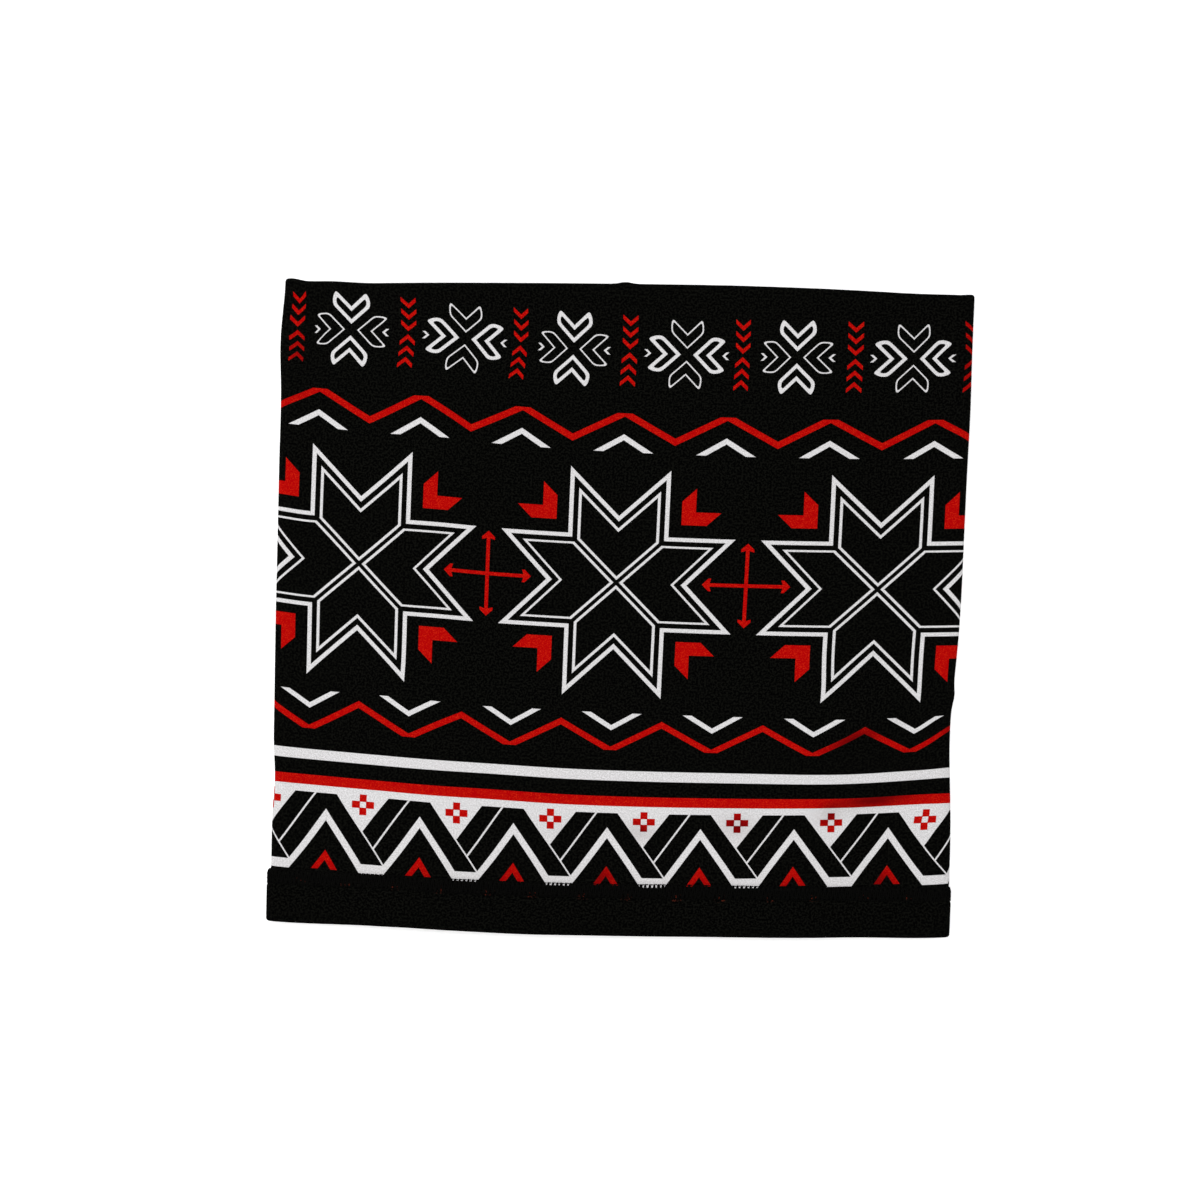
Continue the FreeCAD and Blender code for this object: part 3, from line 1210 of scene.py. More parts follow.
@dataclass(frozen=True)
class WinterPrint:
    """The whole print: traditional winter motifs in rows, on a black ground."""

    stars: StarRow = StarRow()
    flakes: FlakeRow = FlakeRow()
    upper: ZigzagRow = ZigzagRow(Facing.UP, 70.0, chevron_height=6.75)
    lower: ZigzagRow = ZigzagRow(
        Facing.DOWN,
        -50.7,
        depth=2.65,
        chevron_gap=5.9,
        chevron_slope=0.58,
        chevron_depth=2.15,
        chevron_height=6.65,
    )
    white_stripe: Stripe = Stripe(-61.5, 3.95)
    red_stripe: Stripe = Stripe(-70.95, 3.8)
    braid: BraidRow = BraidRow()

    def masks(self, s: Field, t: Field) -> tuple[Field, Field]:
        """Where the white and red inks lie.

        Args:
            s: Place across the print, in millimetres.
            t: Place up the print, in millimetres.

        Returns:
            Coverage of white and of red, between 0 and 1.
        """
        star_white, bracket = self.stars.star(s, t)
        upper_white, upper_red = self.upper.inks(s, t)
        lower_white, lower_red = self.lower.inks(s, t)
        braid_white, braid_red = self.braid.inks(s, t)
        flakes = self.flakes.white(s, t)
        white = either(star_white, flakes, upper_white, lower_white, self.white_stripe.ink(t), braid_white)
        cross = self.stars.cross(s, t)
        columns = self.flakes.red(s, t)
        red = either(bracket, cross, columns, upper_red, lower_red, self.red_stripe.ink(t), braid_red)
        return white.ink(), red.ink()


# ---------------------------------------------------------------- finishes


class Finish:
    """A material under construction: its node tree and its main shader."""

    def __init__(self, name: str, roughness: float, specular: float) -> None:
        """Starts a material.

        Args:
            name: Name of the material.
            roughness: Roughness of its shader.
            specular: Specular level of its shader.
        """
        self.material = bpy.data.materials.new(name)
        self.material.use_nodes = True
        self.tree = self.material.node_tree
        self.shader = self.tree.nodes["Principled BSDF"]
        self.shader.inputs["Roughness"].default_value = roughness
        self.shader.inputs["Specular IOR Level"].default_value = specular

    def sheen(self, weight: float, roughness: float, tint: Colour) -> None:
        """Sets the soft glow of fibre ends.

        Args:
            weight: Strength of the sheen.
            roughness: Its spread.
            tint: Its colour.
        """
        self.shader.inputs["Sheen Weight"].default_value = weight
        self.shader.inputs["Sheen Roughness"].default_value = roughness
        self.shader.inputs["Sheen Tint"].default_value = (*tint, 1.0)

    def cloth_place(self) -> tuple[bpy.types.NodeSocket, Field, Field]:
        """Coordinates on the cloth.

        Returns:
            The UV socket in metres, and across and up in millimetres.
        """
        uv = self.tree.nodes.new("ShaderNodeUVMap")
        uv.uv_map = PRINT_MAP
        parts = self.tree.nodes.new("ShaderNodeSeparateXYZ")
        self.tree.links.new(uv.outputs["UV"], parts.inputs[0])
        across = Field(self.tree, parts.outputs[0]) * (1.0 / MM)
        up = Field(self.tree, parts.outputs[1]) * (1.0 / MM)
        return uv.outputs["UV"], across, up

    def object_place(self) -> bpy.types.NodeSocket:
        """Coordinates in the piece's own frame, in metres."""
        return self.tree.nodes.new("ShaderNodeTexCoord").outputs["Object"]

    def field(self, name: str) -> Field:
        """A value stored on the mesh.

        Args:
            name: Name of the mesh attribute.

        Returns:
            Its value over the cloth.
        """
        node = self.tree.nodes.new("ShaderNodeAttribute")
        node.attribute_name = name
        return Field(self.tree, node.outputs["Fac"])

    def noise(
        self, place: bpy.types.NodeSocket, size: float, detail: float = 2.0, rough: float = 0.5
    ) -> Field:
        """Random variation.

        Args:
            place: Coordinates in metres.
            size: Size of its patches, in millimetres.
            detail: How many finer layers it has.
            rough: How strong they are.

        Returns:
            Values around 0.5.
        """
        node = self.tree.nodes.new("ShaderNodeTexNoise")
        node.inputs["Scale"].default_value = 1.0 / (size * MM)
        node.inputs["Detail"].default_value = detail
        node.inputs["Roughness"].default_value = rough
        self.tree.links.new(place, node.inputs["Vector"])
        return Field(self.tree, node.outputs["Fac"])

    def mixed(self, amount: Field, first: object, second: object) -> bpy.types.NodeSocket:
        """A colour between two others.

        Args:
            amount: 0 for the first, 1 for the second.
            first: A colour or a colour socket.
            second: A colour or a colour socket.

        Returns:
            The mixed colour.
        """
        node = self.tree.nodes.new("ShaderNodeMix")
        node.data_type = "RGBA"
        self.tree.links.new(amount.socket, node.inputs["Factor"])
        colour_slots = [i for i in node.inputs if i.type == "RGBA"]
        for value, slot in zip((first, second), colour_slots):
            if isinstance(value, bpy.types.NodeSocket):
                self.tree.links.new(value, slot)
            else:
                slot.default_value = (*value, 1.0)
        return next(o for o in node.outputs if o.type == "RGBA")

    def colour(self, socket: bpy.types.NodeSocket) -> None:
        """Links the base colour."""
        self.tree.links.new(socket, self.shader.inputs["Base Color"])

    def bump(self, height: Field, depth: float, strength: float = 1.0) -> None:
        """Links a fine relief.

        Args:
            height: Height, between 0 and 1.
            depth: Depth of the relief, in millimetres.
            strength: Strength of its effect.
        """
        node = self.tree.nodes.new("ShaderNodeBump")
        node.inputs["Strength"].default_value = strength
        node.inputs["Distance"].default_value = depth * MM
        self.tree.links.new(height.socket, node.inputs["Height"])
        self.tree.links.new(node.outputs["Normal"], self.shader.inputs["Normal"])


@dataclass(frozen=True)
class KnitFace:
    """Fine jersey: the size of its stitches."""

    wale: float = 0.62
    course: float = 0.5

    def height(self, across: Field, up: Field) -> Field:
        """Relief of the stitches, whose legs lean left and right.

        Args:
            across: Place across the cloth, in millimetres.
            up: Place up the cloth, in millimetres.

        Returns:
            Height, between 0 and 1.
        """
        turn = 2 * math.pi
        leg = abs(across.wrapped(self.wale))
        rows = (up * (turn / self.course) + leg * (turn / self.wale)).sine()
        columns = (leg * (turn / self.wale)).sine()
        return (rows * 0.5 + 0.5) * (columns * 0.6 + 0.4)


@dataclass(frozen=True)
class PrintedKnit:
    """Sublimation-printed polyester knit, right side."""

    white: Colour = (0.70, 0.69, 0.70)
    white_dull: Colour = (0.50, 0.49, 0.49)
    red: Colour = (0.355, 0.0002, 0.0010)
    red_bright: Colour = (0.53, 0.014, 0.0036)
    # painted shade: darker red and greyer white for the creases and dimples
    red_painted_shade: Colour = (0.115, 0.0004, 0.0010)
    white_painted_shade: Colour = (0.43, 0.40, 0.395)

    def material(self) -> bpy.types.Material:
        """The finished material."""
        finish = Finish("printed_knit", roughness=0.85, specular=0.015)
        place, across, up = finish.cloth_place()
        white, red = WinterPrint().masks(across, up)
        grain = finish.noise(place, GRAIN_SIZE, 2.0, 0.6)
        fleck = grain.ramp(*GRAIN_RAMP)
        cloud = finish.noise(place, 2.2, 3.0, 0.65)
        speck = finish.noise(place, 0.42, 1.0, 0.5)
        ember = (cloud * 0.2 + grain * 0.2 + speck * 0.6).ramp(0.50, 0.61)
        ground = finish.mixed(fleck, INK_BLACK, INK_BLACK_WORN)
        # painted shade darkens the white and the red where the creases and dimples lie
        painted_shade = finish.field(PAINTED_SHADE_MAP)
        fluff = (speck * 0.7 + grain * 0.3).ramp(0.40, 0.60)
        pale = finish.mixed(painted_shade * 0.6, finish.mixed(fluff, self.white_dull, self.white), self.white_painted_shade)
        scarlet = finish.mixed(painted_shade, finish.mixed(ember, self.red, self.red_bright), self.red_painted_shade)
        finish.colour(finish.mixed(red, finish.mixed(white, ground, pale), scarlet))
        finish.bump(KnitFace().height(across, up) * 0.7 + grain * 0.6, 0.12, 0.5)
        return finish.material


@dataclass(frozen=True)
class PlainKnit:
    """Black knit, or the undyed back of the print."""

    name: str
    dark: Colour
    light: Colour
    fibres: Colour | None = None

    def material(self) -> bpy.types.Material:
        """The finished material."""
        finish = Finish(self.name, roughness=0.9, specular=0.015)
        place, across, up = finish.cloth_place()
        grain = finish.noise(place, GRAIN_SIZE, 2.0, 0.6)
        colour = finish.mixed(grain.ramp(*GRAIN_RAMP), self.dark, self.light)
        if self.fibres is not None:
            colour = finish.mixed(PulledFibres().amount(across, up, grain), colour, self.fibres)
        finish.colour(colour)
        finish.bump(KnitFace().height(across, up) * 0.7 + grain * 0.6, 0.12, 0.6)
        return finish.material


@dataclass(frozen=True)
class BrushedNap:
    """Short brushed nap of the lining."""

    dark: Colour = (0.004, 0.004, 0.0042)
    light: Colour = (0.022, 0.022, 0.023)

    def material(self) -> bpy.types.Material:
        """The finished material."""
        finish = Finish("brushed_lining", roughness=0.95, specular=0.04)
        finish.sheen(0.12, 0.6, (0.6, 0.6, 0.62))
        place, _, _ = finish.cloth_place()
        tuft = finish.noise(place, 1.6, 4.0, 0.7)
        patch = finish.noise(place, 9.0, 2.0, 0.5)
        shade = (tuft * 0.7 + patch * 0.3).ramp(0.39, 0.67)
        finish.colour(finish.mixed(shade, self.dark, self.light))
        finish.bump(tuft, 0.6, 0.8)
        return finish.material


@dataclass(frozen=True)
class SpunThread:
    """Matt black polyester thread with its twist."""

    dark: Colour = (0.0003, 0.0003, 0.0003)
    light: Colour = (0.0032, 0.0032, 0.0027)

    def material(self) -> bpy.types.Material:
        """The finished material."""
        finish = Finish("black_thread", roughness=0.8, specular=0.018)
        place = finish.object_place()
        fibre = finish.noise(place, 0.25, 3.0, 0.7)
        shade = fibre.ramp(0.33, 0.67)
        finish.colour(finish.mixed(shade, self.dark, self.light))
        finish.bump(fibre, 0.05, 0.6)
        return finish.material


@dataclass(frozen=True)
class SatinTape:
    """Blank white satin tape of the care label."""

    dull: Colour = (0.66, 0.66, 0.64)
    bright: Colour = (0.80, 0.80, 0.78)

    def material(self) -> bpy.types.Material:
        """The finished material."""
        finish = Finish("label_tape", roughness=0.42, specular=0.35)
        place = finish.object_place()
        parts = finish.tree.nodes.new("ShaderNodeSeparateXYZ")
        finish.tree.links.new(place, parts.inputs[0])
        turn = 2 * math.pi / (0.35 * MM)
        across = Field(finish.tree, parts.outputs[0]) * turn
        along = Field(finish.tree, parts.outputs[1]) * (turn * 0.6)
        weave = across.sine() * along.sine() * 0.5 + 0.5
        patch = finish.noise(place, 3.0, 2.0, 0.5)
        finish.colour(finish.mixed(weave * 0.5 + patch * 0.5, self.dull, self.bright))
        finish.bump(weave, 0.05, 0.4)
        return finish.material


@dataclass(frozen=True)
class Wardrobe:
    """Every finish that the gaiter wears."""

    printed: bpy.types.Material
    wrong_side: bpy.types.Material
    hem: bpy.types.Material
    lining: bpy.types.Material
    thread: bpy.types.Material
    tape: bpy.types.Material

    @classmethod
    def made(cls) -> "Wardrobe":
        """Builds the materials."""
        return cls(
            printed=PrintedKnit().material(),
            wrong_side=PlainKnit("print_back", (0.30, 0.30, 0.31), (0.42, 0.42, 0.43)).material(),
            hem=PlainKnit("hem_knit", INK_BLACK, INK_BLACK_WORN, fibres=(0.16, 0.020, 0.008)).material(),
            lining=BrushedNap().material(),
            thread=SpunThread().material(),
            tape=SatinTape().material(),
        )


# ---------------------------------------------------------------- sub-assemblies


@dataclass
class ShellPanel:
    """Printed shell: wrapped into a tube, turned in at the top, sewn at the centre back."""

    lay: GaiterLay
    join_y: float
    facing_y: float
    cloth: float = 0.9
    layers: float = 2.1
    seam_roll: float = 0.75
    groove: float = 0.35
    flap_width: float = 5.0

    def build(self) -> bpy.types.Mesh:
        """The shell's mesh, both faces and the turned facing.

        Returns:
            A closed mesh.
        """
        profile = turned_profile(self.layers, self.cloth, self.join_y, self.facing_y, self.lay.top_y)
        stations = self.lay.stations()
        inset = np.broadcast_to(profile.inset, (stations.size, profile.inset.size)).copy()
        from_back = self.lay.girth / 2 - np.abs(stations)
        roll = self.seam_roll * hill(from_back, 0.0, 0.55)[:, None]
        outside = (profile.inset < self.cloth * 0.9)[None, :]
        inset += roll * outside
        pressed = self.groove * eased(profile.y, self.lay.seam_y + 0.5, self.lay.seam_y - 0.4)[None, :]
        inset += pressed * outside
        mesh = swept_mesh("shell_panel", self.lay, stations, profile, inset)
        back = np.tile(profile.wrong_side, stations.size).astype(np.int32)
        mesh.polygons.foreach_set("material_index", back)
        return mesh

    def dress(self, wardrobe: Wardrobe) -> None:
        """Builds the finished piece, a sheet of cloth.

        Args:
            wardrobe: The finishes.
        """
        finishes = (wardrobe.printed, wardrobe.wrong_side)
        piece = new_piece("shell_panel_cloth", self.build(), Slot.PRINTED_KNIT, "shell_panel", *finishes)
        length = (self.lay.top_y - self.join_y) + (self.lay.top_y - self.facing_y)
        width = self.lay.girth + 2 * self.flap_width
        width * MM
        length * MM


@dataclass
class HemBand:
    """Black knit strip folded double around the bottom edge."""

    lay: GaiterLay
    join_y: float
    cloth: float = 0.9
    layers: float = 2.1
    groove: float = 0.35

    def build(self) -> bpy.types.Mesh:
        """The band's mesh.

        Returns:
            A closed mesh.
        """
        profile = turned_profile(self.layers, self.cloth, self.join_y, self.join_y, self.lay.hem_y)
        profile = Profile(profile.inset[::-1], profile.y[::-1], np.zeros(profile.y.size), profile.wrong_side)
        stations = self.lay.stations()
        stitch_low = 2 * self.join_y - self.lay.seam_y
        outside = profile.inset < self.cloth * 0.9
        pressed = self.groove * eased(profile.y, stitch_low - 0.6, stitch_low + 0.3) * outside
        inset = np.broadcast_to(profile.inset + pressed, (stations.size, profile.inset.size))
        return swept_mesh("hem_band", self.lay, stations, profile, inset)

    def dress(self, wardrobe: Wardrobe) -> None:
        """Builds the finished piece, a sheet of cloth.

        Args:
            wardrobe: The finishes.
        """
        piece = new_piece("hem_band_cloth", self.build(), Slot.HEM_KNIT, "hem_band", wardrobe.hem)
        flat = (self.lay.girth * MM, 2 * (self.join_y - self.lay.hem_y) * MM)


@dataclass
class LiningPanel:
    """Brushed inner tube, lifted over the shell's turned-in back seam."""

    lay: GaiterLay
    low_y: float
    high_y: float
    face: float = 1.0
    cloth: float = 1.1
    hump: float = 2.1
    hump_half: float = 6.5
    hump_slope: float = 3.0

    def build(self) -> bpy.types.Mesh:
        """The lining's mesh.

        Returns:
            A closed mesh.
        """
        profile = flat_profile(self.face, self.face + self.cloth, self.low_y, self.high_y)
        stations = self.lay.stations()
        inset = profile.inset[None, :] + self.lift(stations[:, None], profile.y[None, :])
        rng = np.random.default_rng(5)
        inner = (profile.inset > self.face + 0.8 * self.cloth)[None, :]
        inset = inset + inner * rng.normal(0.0, 0.06, inset.shape)
        return swept_mesh("lining_panel", self.lay, stations, profile, inset)

    def lift(self, girth: np.ndarray, y: np.ndarray) -> np.ndarray:
        """How far the lining is lifted off the shell at the centre back.

        Args:
            girth: Distance around the tube.
            y: Height on the pattern.

        Returns:
            The lift, in millimetres.
        """
        from_back = self.lay.girth / 2 - np.abs(girth)
        rise = eased(from_back, self.hump_half + self.hump_slope, self.hump_half)
        return self.hump * rise * eased(y, self.low_y + 2.0, self.low_y + 9.0)

    def dress(self, wardrobe: Wardrobe) -> None:
        """Builds the finished piece, a sheet of cloth.

        Args:
            wardrobe: The finishes.
        """
        piece = new_piece(
            "lining_panel_cloth", self.build(), Slot.BRUSHED_LINING, "lining_panel", wardrobe.lining
        )
        flat = (self.lay.girth * MM, (self.high_y - self.low_y) * MM)


@dataclass
class HemSeam:
    """Flat seam that joins shell, band and lining: needle rows with threads laid across."""

    lay: GaiterLay
    low_y: float
    high_y: float
    stitch: float = 1.6
    rows: int = 4
    row_inset: float = 0.5
    inner_face: float = 2.1
    needle: Thread = Thread(0.36, 0.26)
    cover: Thread = Thread(0.74, 0.24)

    def row_heights(self) -> np.ndarray:
        """Heights of the needle rows."""
        return np.linspace(self.low_y + self.row_inset, self.high_y - self.row_inset, self.rows)

    def needle_rows(self) -> bpy.types.Mesh:
        """Needle stitches on the outside, which dip into the cloth at both ends."""
        count = round(self.lay.girth / self.stitch)
        pitch = self.lay.girth / count
        start = (np.arange(count) - count / 2) * pitch
        local = np.array([0.0, 0.12, 0.35, 0.65, 0.88, 1.0]) * pitch * 0.96
        depth = np.array([0.55, 0.16, 0.0, 0.0, 0.16, 0.55])
        rng = np.random.default_rng(11)
        paths, out = [], []
        for y in self.row_heights():
            girth = start[:, None] + local[None, :]
            height = y + rng.normal(0.0, 0.05, (count, 1)) + np.zeros_like(girth)
            paths.append(self.lay.place(girth, height, 0.05 + depth[None, :]))
            out.append(self.lay.outward(girth))
        return self.needle.mesh("hem_needle_threads", np.concatenate(paths), np.concatenate(out))

    def cross_threads(self, name: str, face: float, sense: float, seed: int) -> bpy.types.Mesh:
        """Threads laid to and fro across the seam.

        Args:
            name: Name of the mesh.
            face: Inset of the cloth's face that they lie on.
            sense: 1 where they lie outside that face, -1 where they lie inside.
            seed: Start of their random unevenness.

        Returns:
            The mesh.
        """
        count = 2 * round(self.lay.girth / self.stitch)
        pitch = self.lay.girth / count
        rng = np.random.default_rng(seed)
        start = (np.arange(count) - count / 2) * pitch + rng.normal(0.0, 0.06, count)
        way = np.where(np.arange(count) % 2 == 0, 1.0, -1.0)[:, None]
        up = np.linspace(0.0, 1.0, 7)[None, :]
        reach = rng.normal(0.0, 0.10, (count, 1))
        height = self.low_y - 0.1 + (self.high_y + 0.25 + reach - self.low_y) * up
        girth = start[:, None] + way * (up - 0.5) * pitch * 1.1
        depth = face + sense * (0.18 + 0.35 * hill(up, 0.0, 0.08) + 0.35 * hill(up, 1.0, 0.08))
        paths = self.lay.place(girth, height, depth + np.zeros_like(girth))
        return self.cover.mesh(name, paths, sense * self.lay.outward(girth))

    def dress(self, wardrobe: Wardrobe) -> None:
        """Builds the three thread pieces.

        Args:
            wardrobe: The finishes.
        """
        cover = self.cross_threads("hem_cover_threads", 0.0, 1.0, 3)
        looper = self.cross_threads("hem_looper_threads", self.inner_face, -1.0, 7)
        pieces = (
            ("hem_needle_stitches", self.needle_rows(), "hem_needle_threads"),
            ("hem_cover_stitches", cover, "hem_cover_threads"),
            ("hem_looper_stitches", looper, "hem_looper_threads"),
        )
        for name, mesh, node in pieces:
            new_piece(name, mesh, Slot.BLACK_THREAD, node, wardrobe.thread)


@dataclass
class InnerSeams:
    """Threads of the seams that don't show from outside."""

    lay: GaiterLay
    lining: LiningPanel
    top_seam_y: float
    hem_low_y: float
    stitch: float = 2.2
    clear: float = 0.12  # how far the threads stand off the cloth
    dip: float = 0.5  # how deep their ends go into it
    thread: Thread = Thread(0.5, 0.26)

    def laid(
        self, name: str, girth: np.ndarray, height: np.ndarray, face: float, along: np.ndarray
    ) -> bpy.types.Mesh:
        """Threads laid on the side of the cloth towards the middle.

        Args:
            name: Name of the mesh.
            girth: Their points around the tube, by thread and point.
            height: Their points' heights on the pattern.
            face: Inset of the face they lie on.
            along: Place of each point along its thread, from -1 to 1.

        Returns:
            The mesh.
        """
        lift = self.lining.lift(girth, height) if face > self.lining.face else 0.0
        inset = face + self.clear + lift - self.dip * hill(np.abs(along), 1.0, 0.2)
        paths = self.lay.place(girth, height, inset)
        return self.thread.mesh(name, paths, -self.lay.outward(girth))

    def ladder_round(self) -> bpy.types.Mesh:
        """Threads across the seam between facing and lining, right round."""
        count = round(self.lay.girth / self.stitch)
        girth = ((np.arange(count) - count / 2) * self.lay.girth / count)[:, None]
        up = np.linspace(-1.0, 1.0, 6)[None, :]
        girth = girth + 0.35 * up
        height = self.top_seam_y + 1.6 * up
        return self.laid("top_seam_threads", girth, height, self.lining.face + self.lining.cloth, up)

    def ladder_up(self, name: str, low: float, high: float, face: float, half: float) -> bpy.types.Mesh:
        """Threads across a seam that runs up the centre back, on the side towards the middle.

        Args:
            name: Name of the mesh.
            low: Height of the first thread.
            high: Height of the last.
            face: Inset of the face they lie on.
            half: Half their length.

        Returns:
            The mesh.
        """
        count = max(3, round((high - low) / self.stitch))
        height = np.linspace(low, high, count)[:, None]
        across = np.linspace(-1.0, 1.0, 6)[None, :]
        girth = self.lay.girth / 2 + half * across
        girth = np.where(girth > self.lay.girth / 2, girth - self.lay.girth, girth)
        height = height + 0.4 * across
        return self.laid(name, girth + np.zeros_like(height), height, face, across)

    def dress(self, wardrobe: Wardrobe) -> None:
        """Builds the four hidden thread pieces.

        Args:
            wardrobe: The finishes.
        """
        inner = self.lining.face + self.lining.cloth
        lining_low = self.lining.low_y + 4.0
        lining = self.ladder_up("lining_back", lining_low, self.top_seam_y - 2.5, inner, 1.4)
        shell = self.ladder_up("shell_back", lining_low + 4.0, self.top_seam_y - 3.0, 1.0, 2.4)
        hem = self.ladder_up("hem_join", self.lay.hem_y + 1.8, self.hem_low_y - 0.8, inner, 1.2)
        pieces = (
            ("top_seam_stitches", self.ladder_round(), "top_seam_threads"),
            ("lining_back_stitches", lining, "lining_back_seam_threads"),
            ("shell_back_stitches", shell, "shell_back_seam_threads"),
            ("hem_join_stitches", hem, "hem_band_join_threads"),
        )
        for name, mesh, node in pieces:
            new_piece(name, mesh, Slot.BLACK_THREAD, node, wardrobe.thread)


@dataclass
class CareLabel:
    """Blank folded tape on the inside of the back, with its tack."""

    low: np.ndarray
    high: np.ndarray
    tape: float = 0.2
    gap: float = 0.16  # half the distance between its two layers
    curl: float = 1.0
    bow: float = 0.25
    rows: int = 17
    columns: int = 13
    thread: Thread = Thread(0.34, 0.22)

    def build(self) -> bpy.types.Mesh:
        """The tape, folded at its free end.

        Returns:
            A closed mesh.
        """
        length = self.high[1] - self.low[1]
        rows = np.linspace(0.0, length, self.rows)
        level = np.zeros(self.rows)
        bend = np.linspace(0.0, math.pi, 7)[1:-1]
        gap = self.gap
        out_y = np.concatenate([rows[::-1], -gap * np.sin(bend), rows])
        out_z = np.concatenate([level, gap - gap * np.cos(bend), level + 2 * gap])
        normal_y = np.concatenate([level, -np.sin(bend), level])
        normal_z = np.concatenate([level - 1.0, -np.cos(bend), level + 1.0])
        half = self.tape / 2
        columns = np.linspace(self.low[0], self.high[0], self.columns)
        section_y = np.concatenate([out_y + half * normal_y, (out_y - half * normal_y)[::-1]])
        section_z = np.concatenate([out_z + half * normal_z, (out_z - half * normal_z)[::-1]])
        lift = self.curl * (1.0 - section_y / length) ** 2
        x = np.broadcast_to(columns[:, None], (columns.size, section_y.size))
        bow = self.bow * np.sin((columns - columns[0]) / (columns[-1] - columns[0]) * math.pi)[:, None]
        y = np.broadcast_to(self.low[1] + section_y, x.shape)
        z = self.low[2] + half + section_z[None, :] + lift[None, :] + bow
        points = np.stack([x, y, z], axis=-1)
        count, sides = x.shape
        corner = np.arange(count * sides).reshape(count, sides)
        above = np.roll(corner, -1, axis=1)
        quads = np.stack([corner[:-1], above[:-1], above[1:], corner[1:]], axis=-1)
        faces = quads.reshape(-1, 4).tolist()
        strip = sides // 2
        for base, flip in ((0, True), ((count - 1) * sides, False)):
            for j in range(strip - 1):
                quad = (base + j, base + j + 1, base + sides - 2 - j, base + sides - 1 - j)
                faces.append(quad if flip else quad[::-1])
        return mesh_from("care_label", points, faces)

    def tack(self) -> bpy.types.Mesh:
        """Stitches across the label's upper end."""
        count = 11
        start = np.linspace(self.low[0] + 0.6, self.high[0] - 2.4, count)[:, None]
        along = np.array([0.0, 0.2, 0.8, 1.0])[None, :]
        x = start + 1.7 * along
        y = np.full_like(x, self.high[1] - 1.2)
        z = self.high[2] + 0.12 - 0.35 * hill(np.abs(along - 0.5), 0.5, 0.12) + np.zeros_like(x)
        up = np.zeros((*x.shape, 3))
        up[..., 2] = 1.0
        return self.thread.mesh("care_label_stitches", np.stack([x, y, z], axis=-1), up)

    def dress(self, wardrobe: Wardrobe) -> None:
        """Builds the label and its tack.

        Args:
            wardrobe: The finishes.
        """
        label = new_piece("care_label_tape", self.build(), Slot.LABEL_TAPE, "care_label", wardrobe.tape)
        new_piece("care_label_tack", self.tack(), Slot.BLACK_THREAD, "care_label_stitches", wardrobe.thread)


# ---------------------------------------------------------------- studio


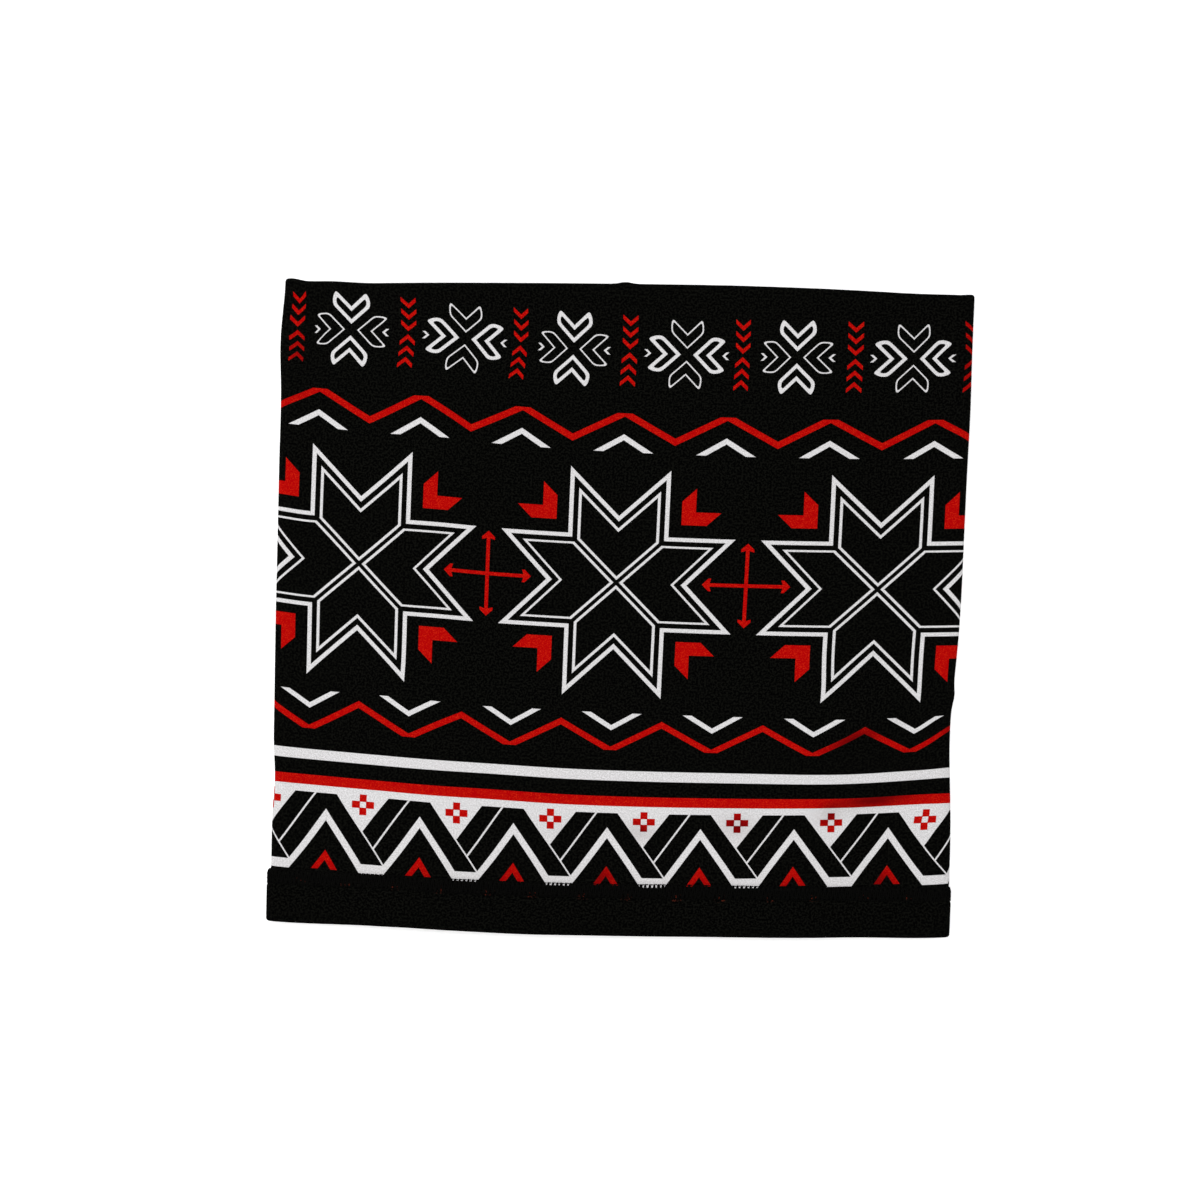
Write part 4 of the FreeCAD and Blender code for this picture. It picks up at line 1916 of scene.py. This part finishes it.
@dataclass(frozen=True)
class Studio:
    """Pale floor, soft lights and the camera straight above."""

    aim: tuple[float, float, float] = (-7.15, 2.66, 9.0)
    roll: float = 1.6
    lens: float = 100.0
    field: float = 439.9  # width of the view at the aim, in millimetres
    sensor: float = 36.0
    floor_glow: float = 0.30
    floor_half: float = 1400.0
    sky_above: float = 0.245
    sky_round: float = 1.05  # brightness of the backdrop all round, near the horizon
    fade_from: float = 0.16  # how high the backdrop starts to give way to the soft light above
    fade_to: float = 0.30
    top_power: float = 35.2
    key_power: float = 21.9

    def camera(self) -> None:
        """Sets the camera, which looks straight down, turned a little."""
        data = bpy.data.cameras.new("camera")
        data.lens = self.lens
        data.sensor_width = self.sensor
        camera = bpy.data.objects.new("camera", data)
        distance = self.field * self.lens / self.sensor
        camera.location = (self.aim[0] * MM, self.aim[1] * MM, (self.aim[2] + distance) * MM)
        camera.rotation_euler = (0.0, 0.0, math.radians(self.roll))
        bpy.context.scene.collection.objects.link(camera)
        bpy.context.scene.camera = camera

    def light(self, name: str, place: tuple[float, float, float], size: float, power: float) -> None:
        """Adds a square soft light that looks at the gaiter.

        Args:
            name: Name of the light.
            place: Where it hangs, in metres.
            size: Length of its side, in metres.
            power: Its power, in watts.
        """
        data = bpy.data.lights.new(name, "AREA")
        data.shape = "SQUARE"
        data.size = size
        data.energy = power
        lamp = bpy.data.objects.new(name, data)
        lamp.location = place
        x, y, z = place
        lamp.rotation_euler = (math.atan2(math.hypot(x, y), z), 0.0, math.atan2(x, -y))
        bpy.context.scene.collection.objects.link(lamp)

    def floor(self) -> None:
        """Adds the floor, which isn't part of the gaiter."""
        half = self.floor_half
        corners = np.array([(-half, -half, 0), (half, -half, 0), (half, half, 0), (-half, half, 0)], float)
        floor = bpy.data.objects.new("floor", mesh_from("floor", corners, [(0, 1, 2, 3)], smooth=False))
        bpy.context.scene.collection.objects.link(floor)
        finish = Finish("floor_paint", roughness=0.9, specular=0.1)
        finish.shader.inputs["Base Color"].default_value = (0.96, 0.96, 0.96, 1.0)
        finish.shader.inputs["Emission Color"].default_value = (1.0, 1.0, 1.0, 1.0)
        finish.shader.inputs["Emission Strength"].default_value = self.floor_glow
        floor.data.materials.append(finish.material)

    def build(self) -> None:
        """Sets up floor, lights, sky and camera."""
        self.camera()
        self.floor()
        self.light("top_light", (0.0, 0.0, 2.2), 1.2, self.top_power)
        self.light("key_light", (-1.3, 1.2, 1.5), 1.0, self.key_power)
        self.sky()
        bpy.context.scene.view_settings.view_transform = "Standard"

    def sky(self) -> None:
        """Sets the sky: a soft light from above that turns into a white backdrop towards the horizon."""
        world = bpy.data.worlds.new("studio")
        world.use_nodes = True
        nodes = world.node_tree.nodes
        links = world.node_tree.links
        background = nodes["Background"]
        background.inputs["Color"].default_value = (1.0, 1.0, 1.0, 1.0)
        place = nodes.new("ShaderNodeTexCoord")
        parts = nodes.new("ShaderNodeSeparateXYZ")
        fade = nodes.new("ShaderNodeMapRange")
        fade.interpolation_type = "SMOOTHSTEP"
        fade.inputs["From Min"].default_value = self.fade_from
        fade.inputs["From Max"].default_value = self.fade_to
        fade.inputs["To Min"].default_value = self.sky_round
        fade.inputs["To Max"].default_value = self.sky_above
        links.new(place.outputs["Generated"], parts.inputs[0])
        links.new(parts.outputs["Z"], fade.inputs["Value"])
        links.new(fade.outputs["Result"], background.inputs["Strength"])
        bpy.context.scene.world = world


def main() -> None:
    """Builds the gaiter piece by piece around its CAD frame, then the studio."""
    logging.basicConfig(level=logging.INFO, format="%(name)s: %(message)s")
    shell_low, shell_high = node_box_mm("shell_panel")
    band_low, _ = node_box_mm("hem_band")
    rows_low, rows_high = node_box_mm("hem_needle_threads")
    lining_low, lining_high = node_box_mm("lining_panel")
    seam_low, seam_high = node_box_mm("top_seam_threads")
    label_low, label_high = node_box_mm("care_label")
    lay = GaiterLay(
        width=shell_high[0] - shell_low[0],
        thickness=shell_high[2] - shell_low[2],
        hem_y=band_low[1],
        seam_y=rows_high[1],
        top_y=shell_high[1],
    )
    wardrobe = Wardrobe.made()
    ShellPanel(lay, join_y=shell_low[1], facing_y=seam_high[1]).dress(wardrobe)
    HemBand(lay, join_y=shell_low[1]).dress(wardrobe)
    lining = LiningPanel(lay, low_y=lining_low[1], high_y=lining_high[1])
    lining.dress(wardrobe)
    HemSeam(lay, low_y=rows_low[1], high_y=rows_high[1]).dress(wardrobe)
    InnerSeams(lay, lining, (seam_low[1] + seam_high[1]) / 2, rows_low[1]).dress(wardrobe)
    CareLabel(label_low, label_high).dress(wardrobe)
    Studio().build()


if __name__ == "__main__":
    main()
